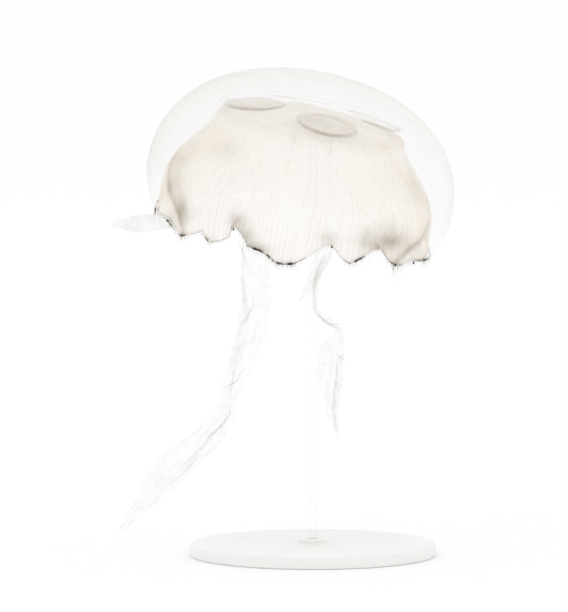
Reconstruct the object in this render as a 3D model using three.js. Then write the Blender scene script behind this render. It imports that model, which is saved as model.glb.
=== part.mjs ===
// Moon jellyfish (Aurelia aurita), life size, at the end of a swimming stroke, on a plain stand.
// Millimetres, +Z up. The origin is the centre of the underside of the stand's base, and -Y is the
// animal's front. The bell is modelled round its own axis, with height 0 at the margin, and is
// then leaned over and set on the rod. Azimuths are degrees from the front (-Y) towards +X.
import * as THREE from 'three';

// ---- Driving dimensions of the bell, in its own frame ----
const BELL_RADIUS = 100.8; // widest part
const WAIST_HEIGHT = 31.2; // height of the widest part above the margin
const MARGIN_RADIUS = 91;
const APEX_HEIGHT = 106.6;
const CROWN_POWER = 2.2; // roundness of the crown, as a superellipse
const FLARE_POWER = 1.8; // how the side draws in from the waist to the margin
const RIM_HEIGHT = 18; // the lappets take over from the bell below this height
const SHEET = 1.5; // thickness of the stomach's floor and of the muscle sheet that lines the bell
const GAP = 0.3; // clearance between neighbouring pieces
const SECTORS = 40; // flat sides round the bell
const CROWN_STEPS = 8;

// Underside of the jelly, from the axis down to the rim: radius, height.
const ROOF_LINE = [
  [0, 87.5], [29, 87], [49, 84], [59.8, 80.3], [63.2, 75.2], [65.4, 65.5],
  [75, 52.4], [82.5, 42.4], [87.4, 31.8], [89.7, 22], [90, RIM_HEIGHT],
];
// Upper face of the stomach's floor, from the axis out to where it joins the roof.
const FLOOR_LINE = [[0, 82.6], [19, 82.4], [40, 79.2], [56, 76.2], [62.2, 74.3]];
const LAPPET_INNER_RADIUS = 88.2; // at the rim, and a little more at the margin
const LAPPET_INNER_FLARE = 1;

// ---- Margin: eight lappets between eight sense organs ----
const RHOPALIA = [-66, -24, 15.5, 62, 108, 153, 198, 244];
// The corners of the scalloped edge, once round: azimuth, height.
const MARGIN_LINE = [
  [-91, 0.5], [-72, 1.5], [-66, 1.8], [-59, -2.4], [-54, -5], [-46, -0.5], [-41, 3.2], [-39, 0.2],
  [-36.5, -2.4], [-30, 1.5], [-26.4, 5.4], [-25.3, 12.8], [-24, 13.4], [-22.7, 12.8], [-20.6, 9.6],
  [-17.7, 3], [-11.5, 1.8], [-8.5, -0.4], [-5.4, -4.2], [-1.5, -4.2], [2.5, -2.4], [5, 0.4],
  [9.5, 7.6], [13, 13.4], [15.5, 14.8], [17.5, 12], [20, 7.8], [23, 4.6], [26, 3], [29, 7.2],
  [33.5, 13.2], [37.5, 14.8], [42, 9], [45, 5.8], [48.5, 3.6], [57, 3.8], [62, 5.4], [72, 4.6],
  [85, 4.2], [97, 3.8], [108, 9], [119, 3.6], [130, 2.8], [142, 3.8], [153, 9.6], [164, 3.6],
  [176, 2.6], [187, 3.8], [198, 9.6], [209, 3.6], [221, 2.6], [233, 3.6], [244, 8.4], [256, 3],
];
// Where the edge folds inwards: azimuth, depth.
const FOLDS = [
  [-66, 2.5], [-41, 3], [-24, 4], [15.5, 4], [37.5, 4], [62, 2.5], [85, 2], [108, 4], [130, 2],
  [153, 4], [176, 2], [198, 4], [221, 2], [244, 4], [269, 1],
];
const FOLD_REACH = 7; // degrees over which a fold fades
const LAPPET_COLUMNS = 16;
const TENTACLE_COLUMNS = [3, 5, 7, 9, 11, 13];
const TENTACLE_LENGTH = 8;
const TENTACLE_WIDTH = 0.8;
const TENTACLE_ROOT = 0.3;
const RHOPALIUM_RADIUS = 1.2;
const RHOPALIUM_INSET = 1; // how far in from the outer skin a sense organ hangs

// ---- Gonads: four horseshoes round the stomach ----
const GONAD_AZIMUTH = 13;
const GONAD_FROM_AXIS = 39.5;
const GONAD_HEIGHT = 82;
const GONAD_RADIUS = 19.5;
const GONAD_CORD = 1.5;
const GONAD_STEPS = 13;
const GONAD_SLOPE = 10; // each horseshoe dips outwards
const GONAD_ENDS = [-125, 155]; // swept round from the outermost point
const PIT_DEPTH = 1.8; // the floor domes up inside each horseshoe
const PIT_REACH = 10;

// ---- Mouth stalk ----
const MOUTH_AZIMUTH = 58; // first of the four corners that carry the arms
const STALK_TOP = 80.4;
const STALK_BOTTOM = 61;
const STALK_SECTORS = 20;
// Fraction of the way down, outer radius, inner radius, and how far the corners stand out.
const STALK_LINE = [[0, 17, 9.2, 0], [0.3, 13, 9, 1], [0.7, 11.3, 8.8, 2.5], [1, 10.6, 8.8, 4.5]];
const ARM_ROOT_RADIUS = 13;
const ARM_ROOT_HEIGHT = 59.5;

// ---- Pose and stand ----
const LEAN = 10.6; // degrees towards +X
const PITCH = 6; // degrees towards the front
const PAD_HEIGHT = 78; // height in the bell of the pad's underside
const PAD_RADIUS = 7.5;
const PAD_LEVEL = 285.6; // height of that underside above the table
const BASE_RADIUS = 80;
const BASE_HEIGHT = 8;
const BASE_BEVEL = 1.5;
const HUB_RADIUS = 9;
const HUB_HEIGHT = 11;
const SOCKET_FLOOR = 3;
const ROD_RADIUS = 3;
const BASE_SECTORS = 32;
const PAD_SECTORS = 24;
const ROD_SECTORS = 16;

// ---- Oral arms: a rib with a veil on each side ----
const HEM = 0.8; // thickness at a veil's edge
const FRILL_HEIGHT = 2.2;
const FRILL_PITCH = 22;
const STATION_STEP = 6.3;
const FRONT = new THREE.Vector3(0, -1, 0);
// Each arm: the corner of the mouth that it starts from, the places it passes through, the
// fractions of its length where it is divided, the reach of its left and right veils (fraction of
// the length, width), its rib's thickness, and how far its veils are turned from facing the front.
const ARMS = {
  left: {
    corner: 3,
    route: [
      [-21.4, -16, 245.4], [-34.5, -26, 222.8], [-44.2, -32, 205.7], [-45.2, -34, 189.6],
      [-44.2, -34, 173.3], [-44.6, -32, 158.1], [-47.5, -30, 143.6], [-50.1, -27, 128.9],
      [-53.3, -25, 114.4], [-55.6, -23, 100.5], [-60.5, -21, 87.5], [-70.2, -18, 77.3],
      [-81.9, -16, 66], [-95.5, -14, 53.4], [-106.6, -12, 40.9], [-117, -10, 27.6],
      [-126.1, -8, 16.4],
    ],
    cuts: [0.25, 0.48, 0.73],
    leftVeil: [[0, 2], [0.3, 1.5], [0.45, 4], [0.6, 6], [0.7, 9], [0.82, 12], [0.93, 5], [1, 0.8]],
    rightVeil: [[0, 2], [0.2, 10], [0.3, 18], [0.45, 17], [0.6, 5], [0.72, 9], [0.85, 10], [1, 0.8]],
    rib: [[0, 5], [0.3, 3.6], [0.7, 2.6], [1, 1]],
    turn: [[0, 20], [0.4, -12], [0.7, 10], [1, -10]],
  },
  right: {
    corner: 0,
    route: [
      [11.7, -14, 246.6], [13.7, -22, 224.4], [10.4, -27, 203.3], [3.2, -29, 187.8],
      [1, -29, 172.2], [3.2, -27, 160.9], [10.4, -25, 154.9], [17.2, -23.5, 149.6],
      [18.2, -22, 140], [16, -21, 126.4], [14.3, -21, 111.5], [14.3, -21, 95.8], [16.9, -20, 78.7],
    ],
    cuts: [0.36, 0.62],
    leftVeil: [[0, 2], [0.4, 2], [0.64, 2.5], [0.7, 15], [0.8, 13], [0.92, 5], [1, 0.8]],
    rightVeil: [[0, 4], [0.3, 5], [0.5, 1.5], [0.7, 2], [0.8, 4.5], [0.9, 3], [1, 0.8]],
    rib: [[0, 4.6], [0.4, 3.4], [0.7, 2.4], [1, 1]],
    turn: [[0, -15], [0.5, 0], [0.8, 8], [1, 0]],
  },
  back: {
    corner: 1,
    route: [
      [5.9, 22, 249.9], [11.1, 30, 226.4], [11.7, 30, 206.8], [5.9, 26, 189.6],
      [-2, 22, 175.6], [-8.8, 19, 164.4],
    ],
    cuts: [0.5],
    leftVeil: [[0, 2], [0.4, 7], [0.75, 4], [1, 0.8]],
    rightVeil: [[0, 2], [0.4, 8], [0.75, 5], [1, 0.8]],
    rib: [[0, 4.6], [0.6, 2.6], [1, 1]],
    turn: [[0, 150], [1, 170]],
  },
  trailing: {
    corner: 2,
    route: [
      [-32.9, 19.9, 259.1], [-58.6, 33.3, 238.8], [-80.9, 42.9, 221.5], [-96.6, 48.5, 215.8],
      [-109.4, 53.7, 213.6], [-120.7, 59.2, 212.3], [-131.5, 64.4, 211.3],
    ],
    cuts: [0.55],
    leftVeil: [[0, 2], [0.5, 3], [0.7, 5.5], [0.9, 5], [1, 1.2]],
    rightVeil: [[0, 2], [0.5, 3], [0.7, 6.5], [0.9, 6], [1, 1.2]],
    rib: [[0, 4.6], [0.6, 2.4], [1, 1]],
    turn: [[0, 0], [1, 12]],
  },
};

// ---- Finishes ----
const finish = (color, roughness, opacity) =>
  new THREE.MeshStandardMaterial({
    color, roughness, metalness: 0, opacity, transparent: opacity < 1, side: THREE.DoubleSide,
  });
const JELLY = () => finish(0xeef0ee, 0.15, 0.35);
const MUSCLE = () => finish(0xe6dccb, 0.35, 0.6);
const MARGIN = () => finish(0xd8cbb2, 0.4, 0.7);
const SENSE_ORGAN = () => finish(0x4a3a24, 0.5, 1);
const GONAD = () => finish(0xb9aaa4, 0.5, 0.9);
const ARM = () => finish(0xecece4, 0.3, 0.6);
const BASE_ACRYLIC = () => finish(0xf4f4f2, 0.3, 1);
const ROD_ACRYLIC = () => finish(0xf2f6f6, 0.05, 0.35);

// ---- Helpers ----
const radians = THREE.MathUtils.degToRad;
const around = (azimuth, radius, height) =>
  new THREE.Vector3(
    radius * Math.sin(radians(azimuth)), -radius * Math.cos(radians(azimuth)), height,
  );
const azimuthGap = (a, b) => Math.abs(((((a - b + 180) % 360) + 360) % 360) - 180);

// Straight-line reading of a [position, value] table.
function along(table, position) {
  const last = table.length - 1;
  let k = 0;
  while (k < last - 1 && position > table[k + 1][0]) k += 1;
  const [x0, y0] = table[k];
  const [x1, y1] = table[k + 1];
  return y0 + (y1 - y0) * THREE.MathUtils.clamp((position - x0) / (x1 - x0), 0, 1);
}

function faceOutwards(geometry) {
  const index = geometry.index.array;
  const corner = [new THREE.Vector3(), new THREE.Vector3(), new THREE.Vector3()];
  let volume = 0;
  for (let k = 0; k < index.length; k += 3) {
    corner.forEach((c, i) => c.fromBufferAttribute(geometry.attributes.position, index[k + i]));
    volume += corner[0].dot(corner[1].clone().cross(corner[2]));
  }
  if (volume < 0) {
    for (let k = 0; k < index.length; k += 3) {
      [index[k], index[k + 1]] = [index[k + 1], index[k]];
    }
  }
  geometry.computeVertexNormals();
  return geometry;
}

// A solid lofted through stations. Each station has a front line and a back line with equally many
// points, and the front line followed by the back line reversed is its closed section. A ring's
// last station meets its first; otherwise both ends are capped.
function loft(stations, ring = false) {
  const lines = stations[0].front.length;
  const loop = 2 * lines;
  const rows = stations.length;
  const points = stations.flatMap(({ front, back }) => [...front, ...[...back].reverse()]);
  const index = [];
  for (let row = 0; row < (ring ? rows : rows - 1); row += 1) {
    const here = row * loop;
    const next = ((row + 1) % rows) * loop;
    for (let k = 0; k < loop; k += 1) {
      const k1 = (k + 1) % loop;
      index.push(here + k, here + k1, next + k1, here + k, next + k1, next + k);
    }
  }
  const cap = (start, order) => {
    for (let k = 0; k < lines - 1; k += 1) {
      const quad = [k, loop - 1 - k, loop - 2 - k, k + 1].map((i) => start + i);
      for (const triangle of [[0, 1, 2], [0, 2, 3]]) {
        index.push(...order.map((i) => quad[triangle[i]]));
      }
    }
  };
  if (!ring) {
    cap(0, [0, 1, 2]);
    cap((rows - 1) * loop, [0, 2, 1]);
  }
  const geometry = new THREE.BufferGeometry().setFromPoints(points);
  geometry.setIndex(index);
  return faceOutwards(geometry);
}

// A solid of revolution about Z from [radius, height] points that start and end on the axis.
function revolve(profile, sectors) {
  const line = profile.map(([r, h]) => new THREE.Vector2(r, h));
  return faceOutwards(new THREE.LatheGeometry(line, sectors).rotateX(Math.PI / 2));
}

// The same line moved sideways, to the right of the way it runs.
function offsetLine(line, distance) {
  return line.map(([r, h], k) => {
    const [r0, h0] = line[Math.max(k - 1, 0)];
    const [r1, h1] = line[Math.min(k + 1, line.length - 1)];
    const length = Math.hypot(r1 - r0, h1 - h0);
    const shift = [(h1 - h0) / length, -(r1 - r0) / length];
    return [k === 0 ? 0 : r + shift[0] * distance, h + shift[1] * distance];
  });
}

// ---- Bell ----
const outerRadius = (height) =>
  MARGIN_RADIUS +
  (BELL_RADIUS - MARGIN_RADIUS) *
    (1 - Math.max(0, (WAIST_HEIGHT - height) / WAIST_HEIGHT) ** FLARE_POWER);

// The outer line from the apex over the crown and down to the rim.
function crownLine() {
  const line = [];
  for (let k = 0; k <= CROWN_STEPS; k += 1) {
    const angle = (Math.PI / 2) * (1 - k / CROWN_STEPS);
    const power = 2 / CROWN_POWER;
    const radius = BELL_RADIUS * Math.max(0, Math.cos(angle)) ** power;
    const rise = (APEX_HEIGHT - WAIST_HEIGHT) * Math.sin(angle) ** power;
    line.push([k === 0 ? 0 : radius, WAIST_HEIGHT + rise]);
  }
  line.push([outerRadius(RIM_HEIGHT), RIM_HEIGHT]);
  return line;
}

const bellGeometry = () => revolve([...crownLine(), ...[...ROOF_LINE].reverse()], SECTORS);

// The floor lifts into a low dome inside each gonad.
function pitRise(x, y) {
  let rise = 0;
  for (let k = 0; k < 4; k += 1) {
    const centre = around(GONAD_AZIMUTH + 90 * k, GONAD_FROM_AXIS, 0);
    const distance = Math.hypot(x - centre.x, y - centre.y);
    rise += PIT_DEPTH * Math.exp(-((distance / PIT_REACH) ** 2));
  }
  return rise;
}

function withPits(geometry) {
  const place = geometry.attributes.position;
  for (let k = 0; k < place.count; k += 1) {
    place.setZ(k, place.getZ(k) + pitRise(place.getX(k), place.getY(k)));
  }
  return faceOutwards(geometry);
}

// The stomach's floor and the muscle lining are one sheet, parted with a thin cut where the roof
// starts. This is the upper line of the whole sheet and the line under it.
function sheetLines() {
  const side = offsetLine(ROOF_LINE, GAP).filter(([r]) => r > ROOF_LINE[4][0]);
  const upper = [...FLOOR_LINE, ...side];
  const lower = offsetLine(upper, SHEET);
  lower[lower.length - 1][1] = RIM_HEIGHT;
  upper[upper.length - 1][1] = RIM_HEIGHT;
  return [upper, lower];
}

function floorGeometry() {
  const [upper, lower] = sheetLines().map((line) => line.slice(0, FLOOR_LINE.length));
  return withPits(revolve([...upper, ...lower.reverse()], SECTORS));
}

function subumbrellaGeometry() {
  const [upper, lower] = sheetLines().map((line) => {
    const rest = line.slice(FLOOR_LINE.length - 1);
    const [[r0, h0], [r1, h1]] = rest;
    const part = GAP / Math.hypot(r1 - r0, h1 - h0);
    rest[0] = [r0 + (r1 - r0) * part, h0 + (h1 - h0) * part];
    return rest;
  });
  return withPits(revolve([...upper, ...lower.reverse(), upper[0]], SECTORS));
}

// ---- Margin ----
const marginHeight = (azimuth) => {
  const [start, height] = MARGIN_LINE[0];
  const line = [...MARGIN_LINE, [start + 360, height]];
  return along(line, THREE.MathUtils.euclideanModulo(azimuth - start, 360) + start);
};
const pleat = (azimuth) =>
  FOLDS.reduce(
    (total, [at, depth]) => total + depth * Math.exp(-azimuthGap(azimuth, at) / FOLD_REACH), 0,
  );

// One column of a lappet: skin outside, muscle inside, and a tentacle's tip below the edge.
function lappetStation(azimuth, drop, down) {
  const top = RIM_HEIGHT - GAP;
  const edge = marginHeight(azimuth);
  const front = [];
  const back = [];
  for (const part of [0, 0.5, 1]) {
    const height = top + (edge - top) * part;
    const fold = pleat(azimuth) * part ** 1.5;
    const inner = LAPPET_INNER_RADIUS + LAPPET_INNER_FLARE * part;
    front.push(around(azimuth, outerRadius(height) - fold, height));
    back.push(around(azimuth, inner - fold, height));
  }
  const tip = front[2].clone().lerp(back[2], 0.5).addScaledVector(down, drop);
  const half = around(azimuth, TENTACLE_WIDTH / 2, 0);
  front.push(tip.clone().add(half));
  back.push(tip.clone().sub(half));
  return { front, back };
}

// Columns at a lappet's ends and at each corner of the edge, and more in the widest gaps.
function lappetColumns(from, to) {
  const corners = MARGIN_LINE.flatMap(([at]) => [at, at + 360]);
  const inside = corners.filter((at) => at > from && at < to).sort((a, b) => a - b);
  const columns = [from, ...inside, to];
  const gap = (k) => (k > 0 ? columns[k] - columns[k - 1] : 0);
  while (columns.length <= LAPPET_COLUMNS) {
    const widest = columns.reduce((best, _, k) => (gap(k) > gap(best) ? k : best), 0);
    columns.splice(widest, 0, (columns[widest - 1] + columns[widest]) / 2);
  }
  return columns;
}

function lappetGeometry(from, to, down) {
  const margin = THREE.MathUtils.radToDeg(GAP / MARGIN_RADIUS / 2);
  return loft(
    lappetColumns(from + margin, to - margin).map((azimuth, column) => {
      const drop = TENTACLE_COLUMNS.includes(column) ? TENTACLE_LENGTH : TENTACLE_ROOT;
      return lappetStation(azimuth, drop, down);
    }),
  );
}

function rhopaliumGeometry() {
  const geometry = new THREE.IcosahedronGeometry(RHOPALIUM_RADIUS);
  geometry.setIndex([...Array(geometry.attributes.position.count).keys()]);
  return faceOutwards(geometry);
}

// ---- Gonads ----
class Horseshoe extends THREE.Curve {
  constructor(azimuth) {
    super();
    this.centre = around(azimuth, GONAD_FROM_AXIS, GONAD_HEIGHT);
    this.outwards = around(azimuth, Math.cos(radians(GONAD_SLOPE)), -Math.sin(radians(GONAD_SLOPE)));
    this.sideways = around(azimuth + 90, 1, 0);
  }

  getPoint(part, target = new THREE.Vector3()) {
    const turn = radians(THREE.MathUtils.lerp(...GONAD_ENDS, part));
    return target
      .copy(this.centre)
      .addScaledVector(this.outwards, GONAD_RADIUS * Math.cos(turn))
      .addScaledVector(this.sideways, GONAD_RADIUS * Math.sin(turn));
  }
}

function gonadGeometry(azimuth) {
  const section = new THREE.Shape();
  section.absarc(0, 0, GONAD_CORD, 0, 2 * Math.PI);
  return new THREE.ExtrudeGeometry(section, {
    steps: GONAD_STEPS, curveSegments: 3, bevelEnabled: false, extrudePath: new Horseshoe(azimuth),
  });
}

// ---- Mouth stalk: four-cornered, and open along its middle ----
function stalkGeometry() {
  const stations = [];
  for (let sector = 0; sector < STALK_SECTORS; sector += 1) {
    const azimuth = (360 * sector) / STALK_SECTORS + MOUTH_AZIMUTH;
    const corner = (0.5 + 0.5 * Math.cos(radians(4 * (azimuth - MOUTH_AZIMUTH)))) ** 1.5;
    const height = (part) => THREE.MathUtils.lerp(STALK_TOP, STALK_BOTTOM, part);
    stations.push({
      front: STALK_LINE.map(([p, outer, , out]) => around(azimuth, outer + out * corner, height(p))),
      back: STALK_LINE.map(([p, , inner, out]) => around(azimuth, inner + 0.6 * out * corner, height(p))),
    });
  }
  return loft(stations, true);
}

// ---- Oral arms ----
function armStation(curve, arm, part) {
  const place = curve.getPointAt(part);
  const forward = curve.getTangentAt(part);
  const side = new THREE.Vector3().crossVectors(FRONT, forward).normalize();
  side.applyAxisAngle(forward, radians(along(arm.turn, part)));
  const normal = new THREE.Vector3().crossVectors(forward, side);
  const ribHalf = along(arm.rib, part) / 2;
  const front = [];
  const back = [];
  for (const u of [-1, -0.5, 0, 0.5, 1]) {
    const reach = along(u < 0 ? arm.leftVeil : arm.rightVeil, part);
    const phase = (2 * Math.PI * part * curve.getLength()) / FRILL_PITCH + (u < 0 ? 0 : 2);
    const frill = FRILL_HEIGHT * Math.min(1, reach / 8) * Math.abs(u) ** 1.5 * Math.sin(phase);
    const half = HEM / 2 + (ribHalf - HEM / 2) * (1 - Math.abs(u)) ** 2;
    const middle = place.clone().addScaledVector(side, u * reach);
    front.push(middle.clone().addScaledVector(normal, frill + half));
    back.push(middle.clone().addScaledVector(normal, frill - half));
  }
  return { front, back };
}

function armLengths(arm, root) {
  const places = arm.route.map((p) => new THREE.Vector3(...p));
  const curve = new THREE.CatmullRomCurve3([root, ...places], false, 'centripetal');
  const length = curve.getLength();
  const ends = [0, ...arm.cuts, 1];
  return arm.cuts.concat(1).map((end, k) => {
    const from = ends[k] + (k > 0 ? GAP / 2 / length : 0);
    const to = end - (end < 1 ? GAP / 2 / length : 0);
    const steps = Math.round(((to - from) * length) / STATION_STEP);
    const stations = [];
    for (let step = 0; step <= steps; step += 1) {
      stations.push(armStation(curve, arm, THREE.MathUtils.lerp(from, to, step / steps)));
    }
    return loft(stations);
  });
}

// ---- Stand ----
const baseGeometry = () =>
  revolve([
    [0, SOCKET_FLOOR], [ROD_RADIUS + GAP, SOCKET_FLOOR], [ROD_RADIUS + GAP, HUB_HEIGHT],
    [HUB_RADIUS - BASE_BEVEL, HUB_HEIGHT], [HUB_RADIUS, HUB_HEIGHT - BASE_BEVEL],
    [HUB_RADIUS, BASE_HEIGHT], [BASE_RADIUS - BASE_BEVEL, BASE_HEIGHT],
    [BASE_RADIUS, BASE_HEIGHT - BASE_BEVEL], [BASE_RADIUS, BASE_BEVEL],
    [BASE_RADIUS - BASE_BEVEL, 0], [0, 0],
  ], BASE_SECTORS);

const cylinder = (radius, height, sectors) =>
  new THREE.CylinderGeometry(radius, radius, height, sectors).rotateX(Math.PI / 2);

const padGeometry = () => faceOutwards(cylinder(PAD_RADIUS, STALK_TOP - PAD_HEIGHT, PAD_SECTORS));

// The rod's top is cut to lie flat under the leaning pad.
function rodGeometry(axis) {
  const foot = SOCKET_FLOOR + GAP;
  const geometry = cylinder(ROD_RADIUS, PAD_LEVEL - foot, ROD_SECTORS);
  geometry.translate(0, 0, (PAD_LEVEL + foot) / 2);
  const place = geometry.attributes.position;
  for (let k = 0; k < place.count; k += 1) {
    if (place.getZ(k) > foot + 1) {
      const across = axis.x * place.getX(k) + axis.y * place.getY(k);
      place.setZ(k, PAD_LEVEL - GAP - across / axis.z);
    }
  }
  return faceOutwards(geometry);
}

// ---- Assembly ----
const jellyfish = new THREE.Group();
const add = (parent, name, geometry, material) => {
  const mesh = new THREE.Mesh(geometry, material);
  mesh.name = name;
  parent.add(mesh);
  return mesh;
};

const bell = new THREE.Group();
bell.rotation.set(radians(PITCH), radians(LEAN), 0, 'YXZ');
bell.updateMatrix();
const axis = new THREE.Vector3(0, 0, 1).applyEuler(bell.rotation);
bell.position.set(0, 0, PAD_LEVEL).addScaledVector(axis, -PAD_HEIGHT);
bell.updateMatrix();
jellyfish.add(bell);
const hanging = new THREE.Vector3(0, 0, -1).applyQuaternion(bell.quaternion.clone().invert());

add(bell, 'bell', bellGeometry(), JELLY());
add(bell, 'stomach_floor', floorGeometry(), MUSCLE());
add(bell, 'subumbrella', subumbrellaGeometry(), MUSCLE());
RHOPALIA.forEach((azimuth, k) => {
  const next = k + 1 < RHOPALIA.length ? RHOPALIA[k + 1] : RHOPALIA[0] + 360;
  add(bell, `lappet_${k + 1}`, lappetGeometry(azimuth, next, hanging), MARGIN());
  const organ = add(bell, `rhopalium_${k + 1}`, rhopaliumGeometry(), SENSE_ORGAN());
  const edge = marginHeight(azimuth);
  const radius = outerRadius(edge) - pleat(azimuth) - RHOPALIUM_INSET;
  organ.position
    .copy(around(azimuth, radius, edge))
    .addScaledVector(hanging, RHOPALIUM_RADIUS + TENTACLE_ROOT + 2 * GAP);
});
for (let k = 0; k < 4; k += 1) {
  add(bell, `gonad_${k + 1}`, gonadGeometry(GONAD_AZIMUTH + 90 * k), GONAD());
}
add(bell, 'manubrium', stalkGeometry(), ARM());

for (const [name, arm] of Object.entries(ARMS)) {
  const azimuth = MOUTH_AZIMUTH + 90 * arm.corner;
  const root = around(azimuth, ARM_ROOT_RADIUS, ARM_ROOT_HEIGHT).applyMatrix4(bell.matrix);
  armLengths(arm, root).forEach((geometry, k) => {
    add(jellyfish, `oral_arm_${name}_${k + 1}`, geometry, ARM());
  });
}

add(jellyfish, 'stand_base', baseGeometry(), BASE_ACRYLIC());
add(jellyfish, 'stand_rod', rodGeometry(axis), ROD_ACRYLIC());
const pad = add(bell, 'stand_pad', padGeometry(), ROD_ACRYLIC());
pad.position.z = (STALK_TOP + PAD_HEIGHT) / 2;

export default jellyfish;
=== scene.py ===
# Moon jellyfish (Aurelia aurita), life size, at the end of a swimming stroke, on a plain stand.
# The animal's sizes are millimetres and its azimuths degrees from the front (-Y) towards +X. The
# bell is made round its own axis, with height 0 at the margin, then leaned over and set on the rod.
import bisect
import functools
import math
import random

import bmesh
import bpy
from mathutils import Matrix, Vector, noise


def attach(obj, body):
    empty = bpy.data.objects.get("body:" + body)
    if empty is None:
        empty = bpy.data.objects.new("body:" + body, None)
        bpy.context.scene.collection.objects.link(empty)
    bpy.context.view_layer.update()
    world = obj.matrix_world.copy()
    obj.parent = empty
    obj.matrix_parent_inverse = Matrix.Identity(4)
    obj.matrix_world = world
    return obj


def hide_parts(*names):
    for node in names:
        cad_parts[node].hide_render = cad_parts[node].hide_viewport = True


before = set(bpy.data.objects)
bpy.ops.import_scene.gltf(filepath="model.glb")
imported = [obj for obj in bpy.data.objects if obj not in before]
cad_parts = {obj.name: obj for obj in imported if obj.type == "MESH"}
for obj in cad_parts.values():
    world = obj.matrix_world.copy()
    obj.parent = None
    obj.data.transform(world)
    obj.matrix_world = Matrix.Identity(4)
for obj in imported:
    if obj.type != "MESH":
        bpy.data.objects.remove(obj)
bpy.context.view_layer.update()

MM = 0.001
TURN = 2 * math.pi
PATCH = 0.003  # the width of one small piece's patch on the OFBake map

# ---- Bell, in its own frame ----
BELL_RADIUS = 100.8
WAIST_HEIGHT = 31.2
MARGIN_RADIUS = 91
APEX_HEIGHT = 106.6
CROWN_POWER = 2.2
FLARE_POWER = 1.8
RIM_HEIGHT = 18
# Underside of the jelly, from the axis down to the rim: radius, height.
ROOF_LINE = [
    (0, 87.5), (29, 87), (49, 84), (59.8, 80.3), (63.2, 75.2), (65.4, 65.5),
    (75, 52.4), (82.5, 42.4), (87.4, 31.8), (89.7, 22), (90, RIM_HEIGHT),
]
# Upper face of the muscle sheet: the stomach's floor, then the lining of the bell.
LINING_LINE = [
    (0, 82.6), (19, 82.4), (40, 79.2), (56, 76.1), (61.2, 73.3), (64.4, 64.9),
    (74.1, 51.7), (81.7, 41.7), (86.7, 31.5), (88.9, 22), (89.2, RIM_HEIGHT), (89.2, 9), (89.2, 0),
]
SKIRT_WALL = 1.0  # the jelly's thickness at the margin
SHEET = 0.9  # the muscle sheet's thickness

# ---- Margin ----
RHOPALIA = [-66, -24, 15.5, 62, 108, 153, 198, 244]
# The corners of the scalloped edge, once round: azimuth, height.
MARGIN_LINE = [
    (-91, 0.5), (-72, 1.5), (-66, 1.8), (-59, -2.4), (-54, -5), (-46, -0.5), (-41, 3.2), (-39, 0.2),
    (-36.5, -2.4), (-30, 1.5), (-26.4, 5.4), (-25.3, 12.8), (-24, 13.4), (-22.7, 12.8),
    (-20.6, 9.6), (-17.7, 3), (-11.5, 1.8), (-8.5, -0.4), (-5.4, -4.2), (-1.5, -4.2), (2.5, -2.4),
    (5, 0.4),
    (9.5, 7.6), (13, 13.4), (15.5, 14.8), (17.5, 12), (20, 7.8), (23, 4.6), (26, 3), (29, 7.2),
    (33.5, 13.2), (37.5, 14.8), (42, 9), (45, 5.8), (48.5, 3.6), (57, 3.8), (62, 5.4), (72, 4.6),
    (85, 4.2), (97, 3.8), (108, 9), (119, 3.6), (130, 2.8), (142, 3.8), (153, 9.6), (164, 3.6),
    (176, 2.6), (187, 3.8), (198, 9.6), (209, 3.6), (221, 2.6), (233, 3.6), (244, 8.4), (256, 3),
    (269, 0.5),
]
# Where the edge folds inwards: azimuth, depth.
FOLDS = [
    (-66, 2.5), (-41, 3), (-24, 4), (15.5, 4), (37.5, 4), (62, 2.5), (85, 2), (108, 4), (130, 2),
    (153, 4), (176, 2), (198, 4), (221, 2), (244, 4), (269, 1),
]
FOLD_REACH = 7
PLEAT_TOP = 34  # the folds at the notches fade out at this height
PLEAT_POWER = 1.6
GATHERS = 180  # fine gathers of the muscle sheet round the bell
GATHER_DEPTH = 0.32
GATHER_TOP = 58

# ---- Gonads ----
GONAD_AZIMUTH = 13
GONAD_FROM_AXIS = 39.5
GONAD_HEIGHT = 82
GONAD_RADIUS = 19.5
GONAD_CORD = 1.5
GONAD_SLOPE = 10
GONAD_ENDS = (-125, 155)
PIT_DEPTH = 1.8
PIT_REACH = 10

# ---- Mouth ----
MOUTH_AZIMUTH = 58
STALK_TOP = 80.4
STALK_BOTTOM = 61
# Fraction of the way down, outer radius, inner radius, and how far the corners stand out.
STALK_LINE = [(0, 17, 9.2, 0), (0.3, 13, 9, 1), (0.7, 11.3, 8.8, 2.5), (1, 10.6, 8.8, 4.5)]
ARM_ROOT_RADIUS = 13
ARM_ROOT_HEIGHT = 59.5

# ---- Pose and stand ----
LEAN = 10.6
PITCH = 6
PAD_HEIGHT = 78
PAD_RADIUS = 7.5
PAD_LEVEL = 285.6
BASE_RADIUS = 80
BASE_HEIGHT = 8
BASE_BEVEL = 1.5
HUB_RADIUS = 9
HUB_HEIGHT = 11
SOCKET_FLOOR = 3
ROD_RADIUS = 3
GAP = 0.3

# ---- Oral arms ----
HEM = 0.5  # thickness of a veil's edge
FRILL_HEIGHT = 2.2
FRILL_PITCH = 22
RUFFLE_PITCH = 5.5
FRONT = Vector((0, -1, 0))
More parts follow.
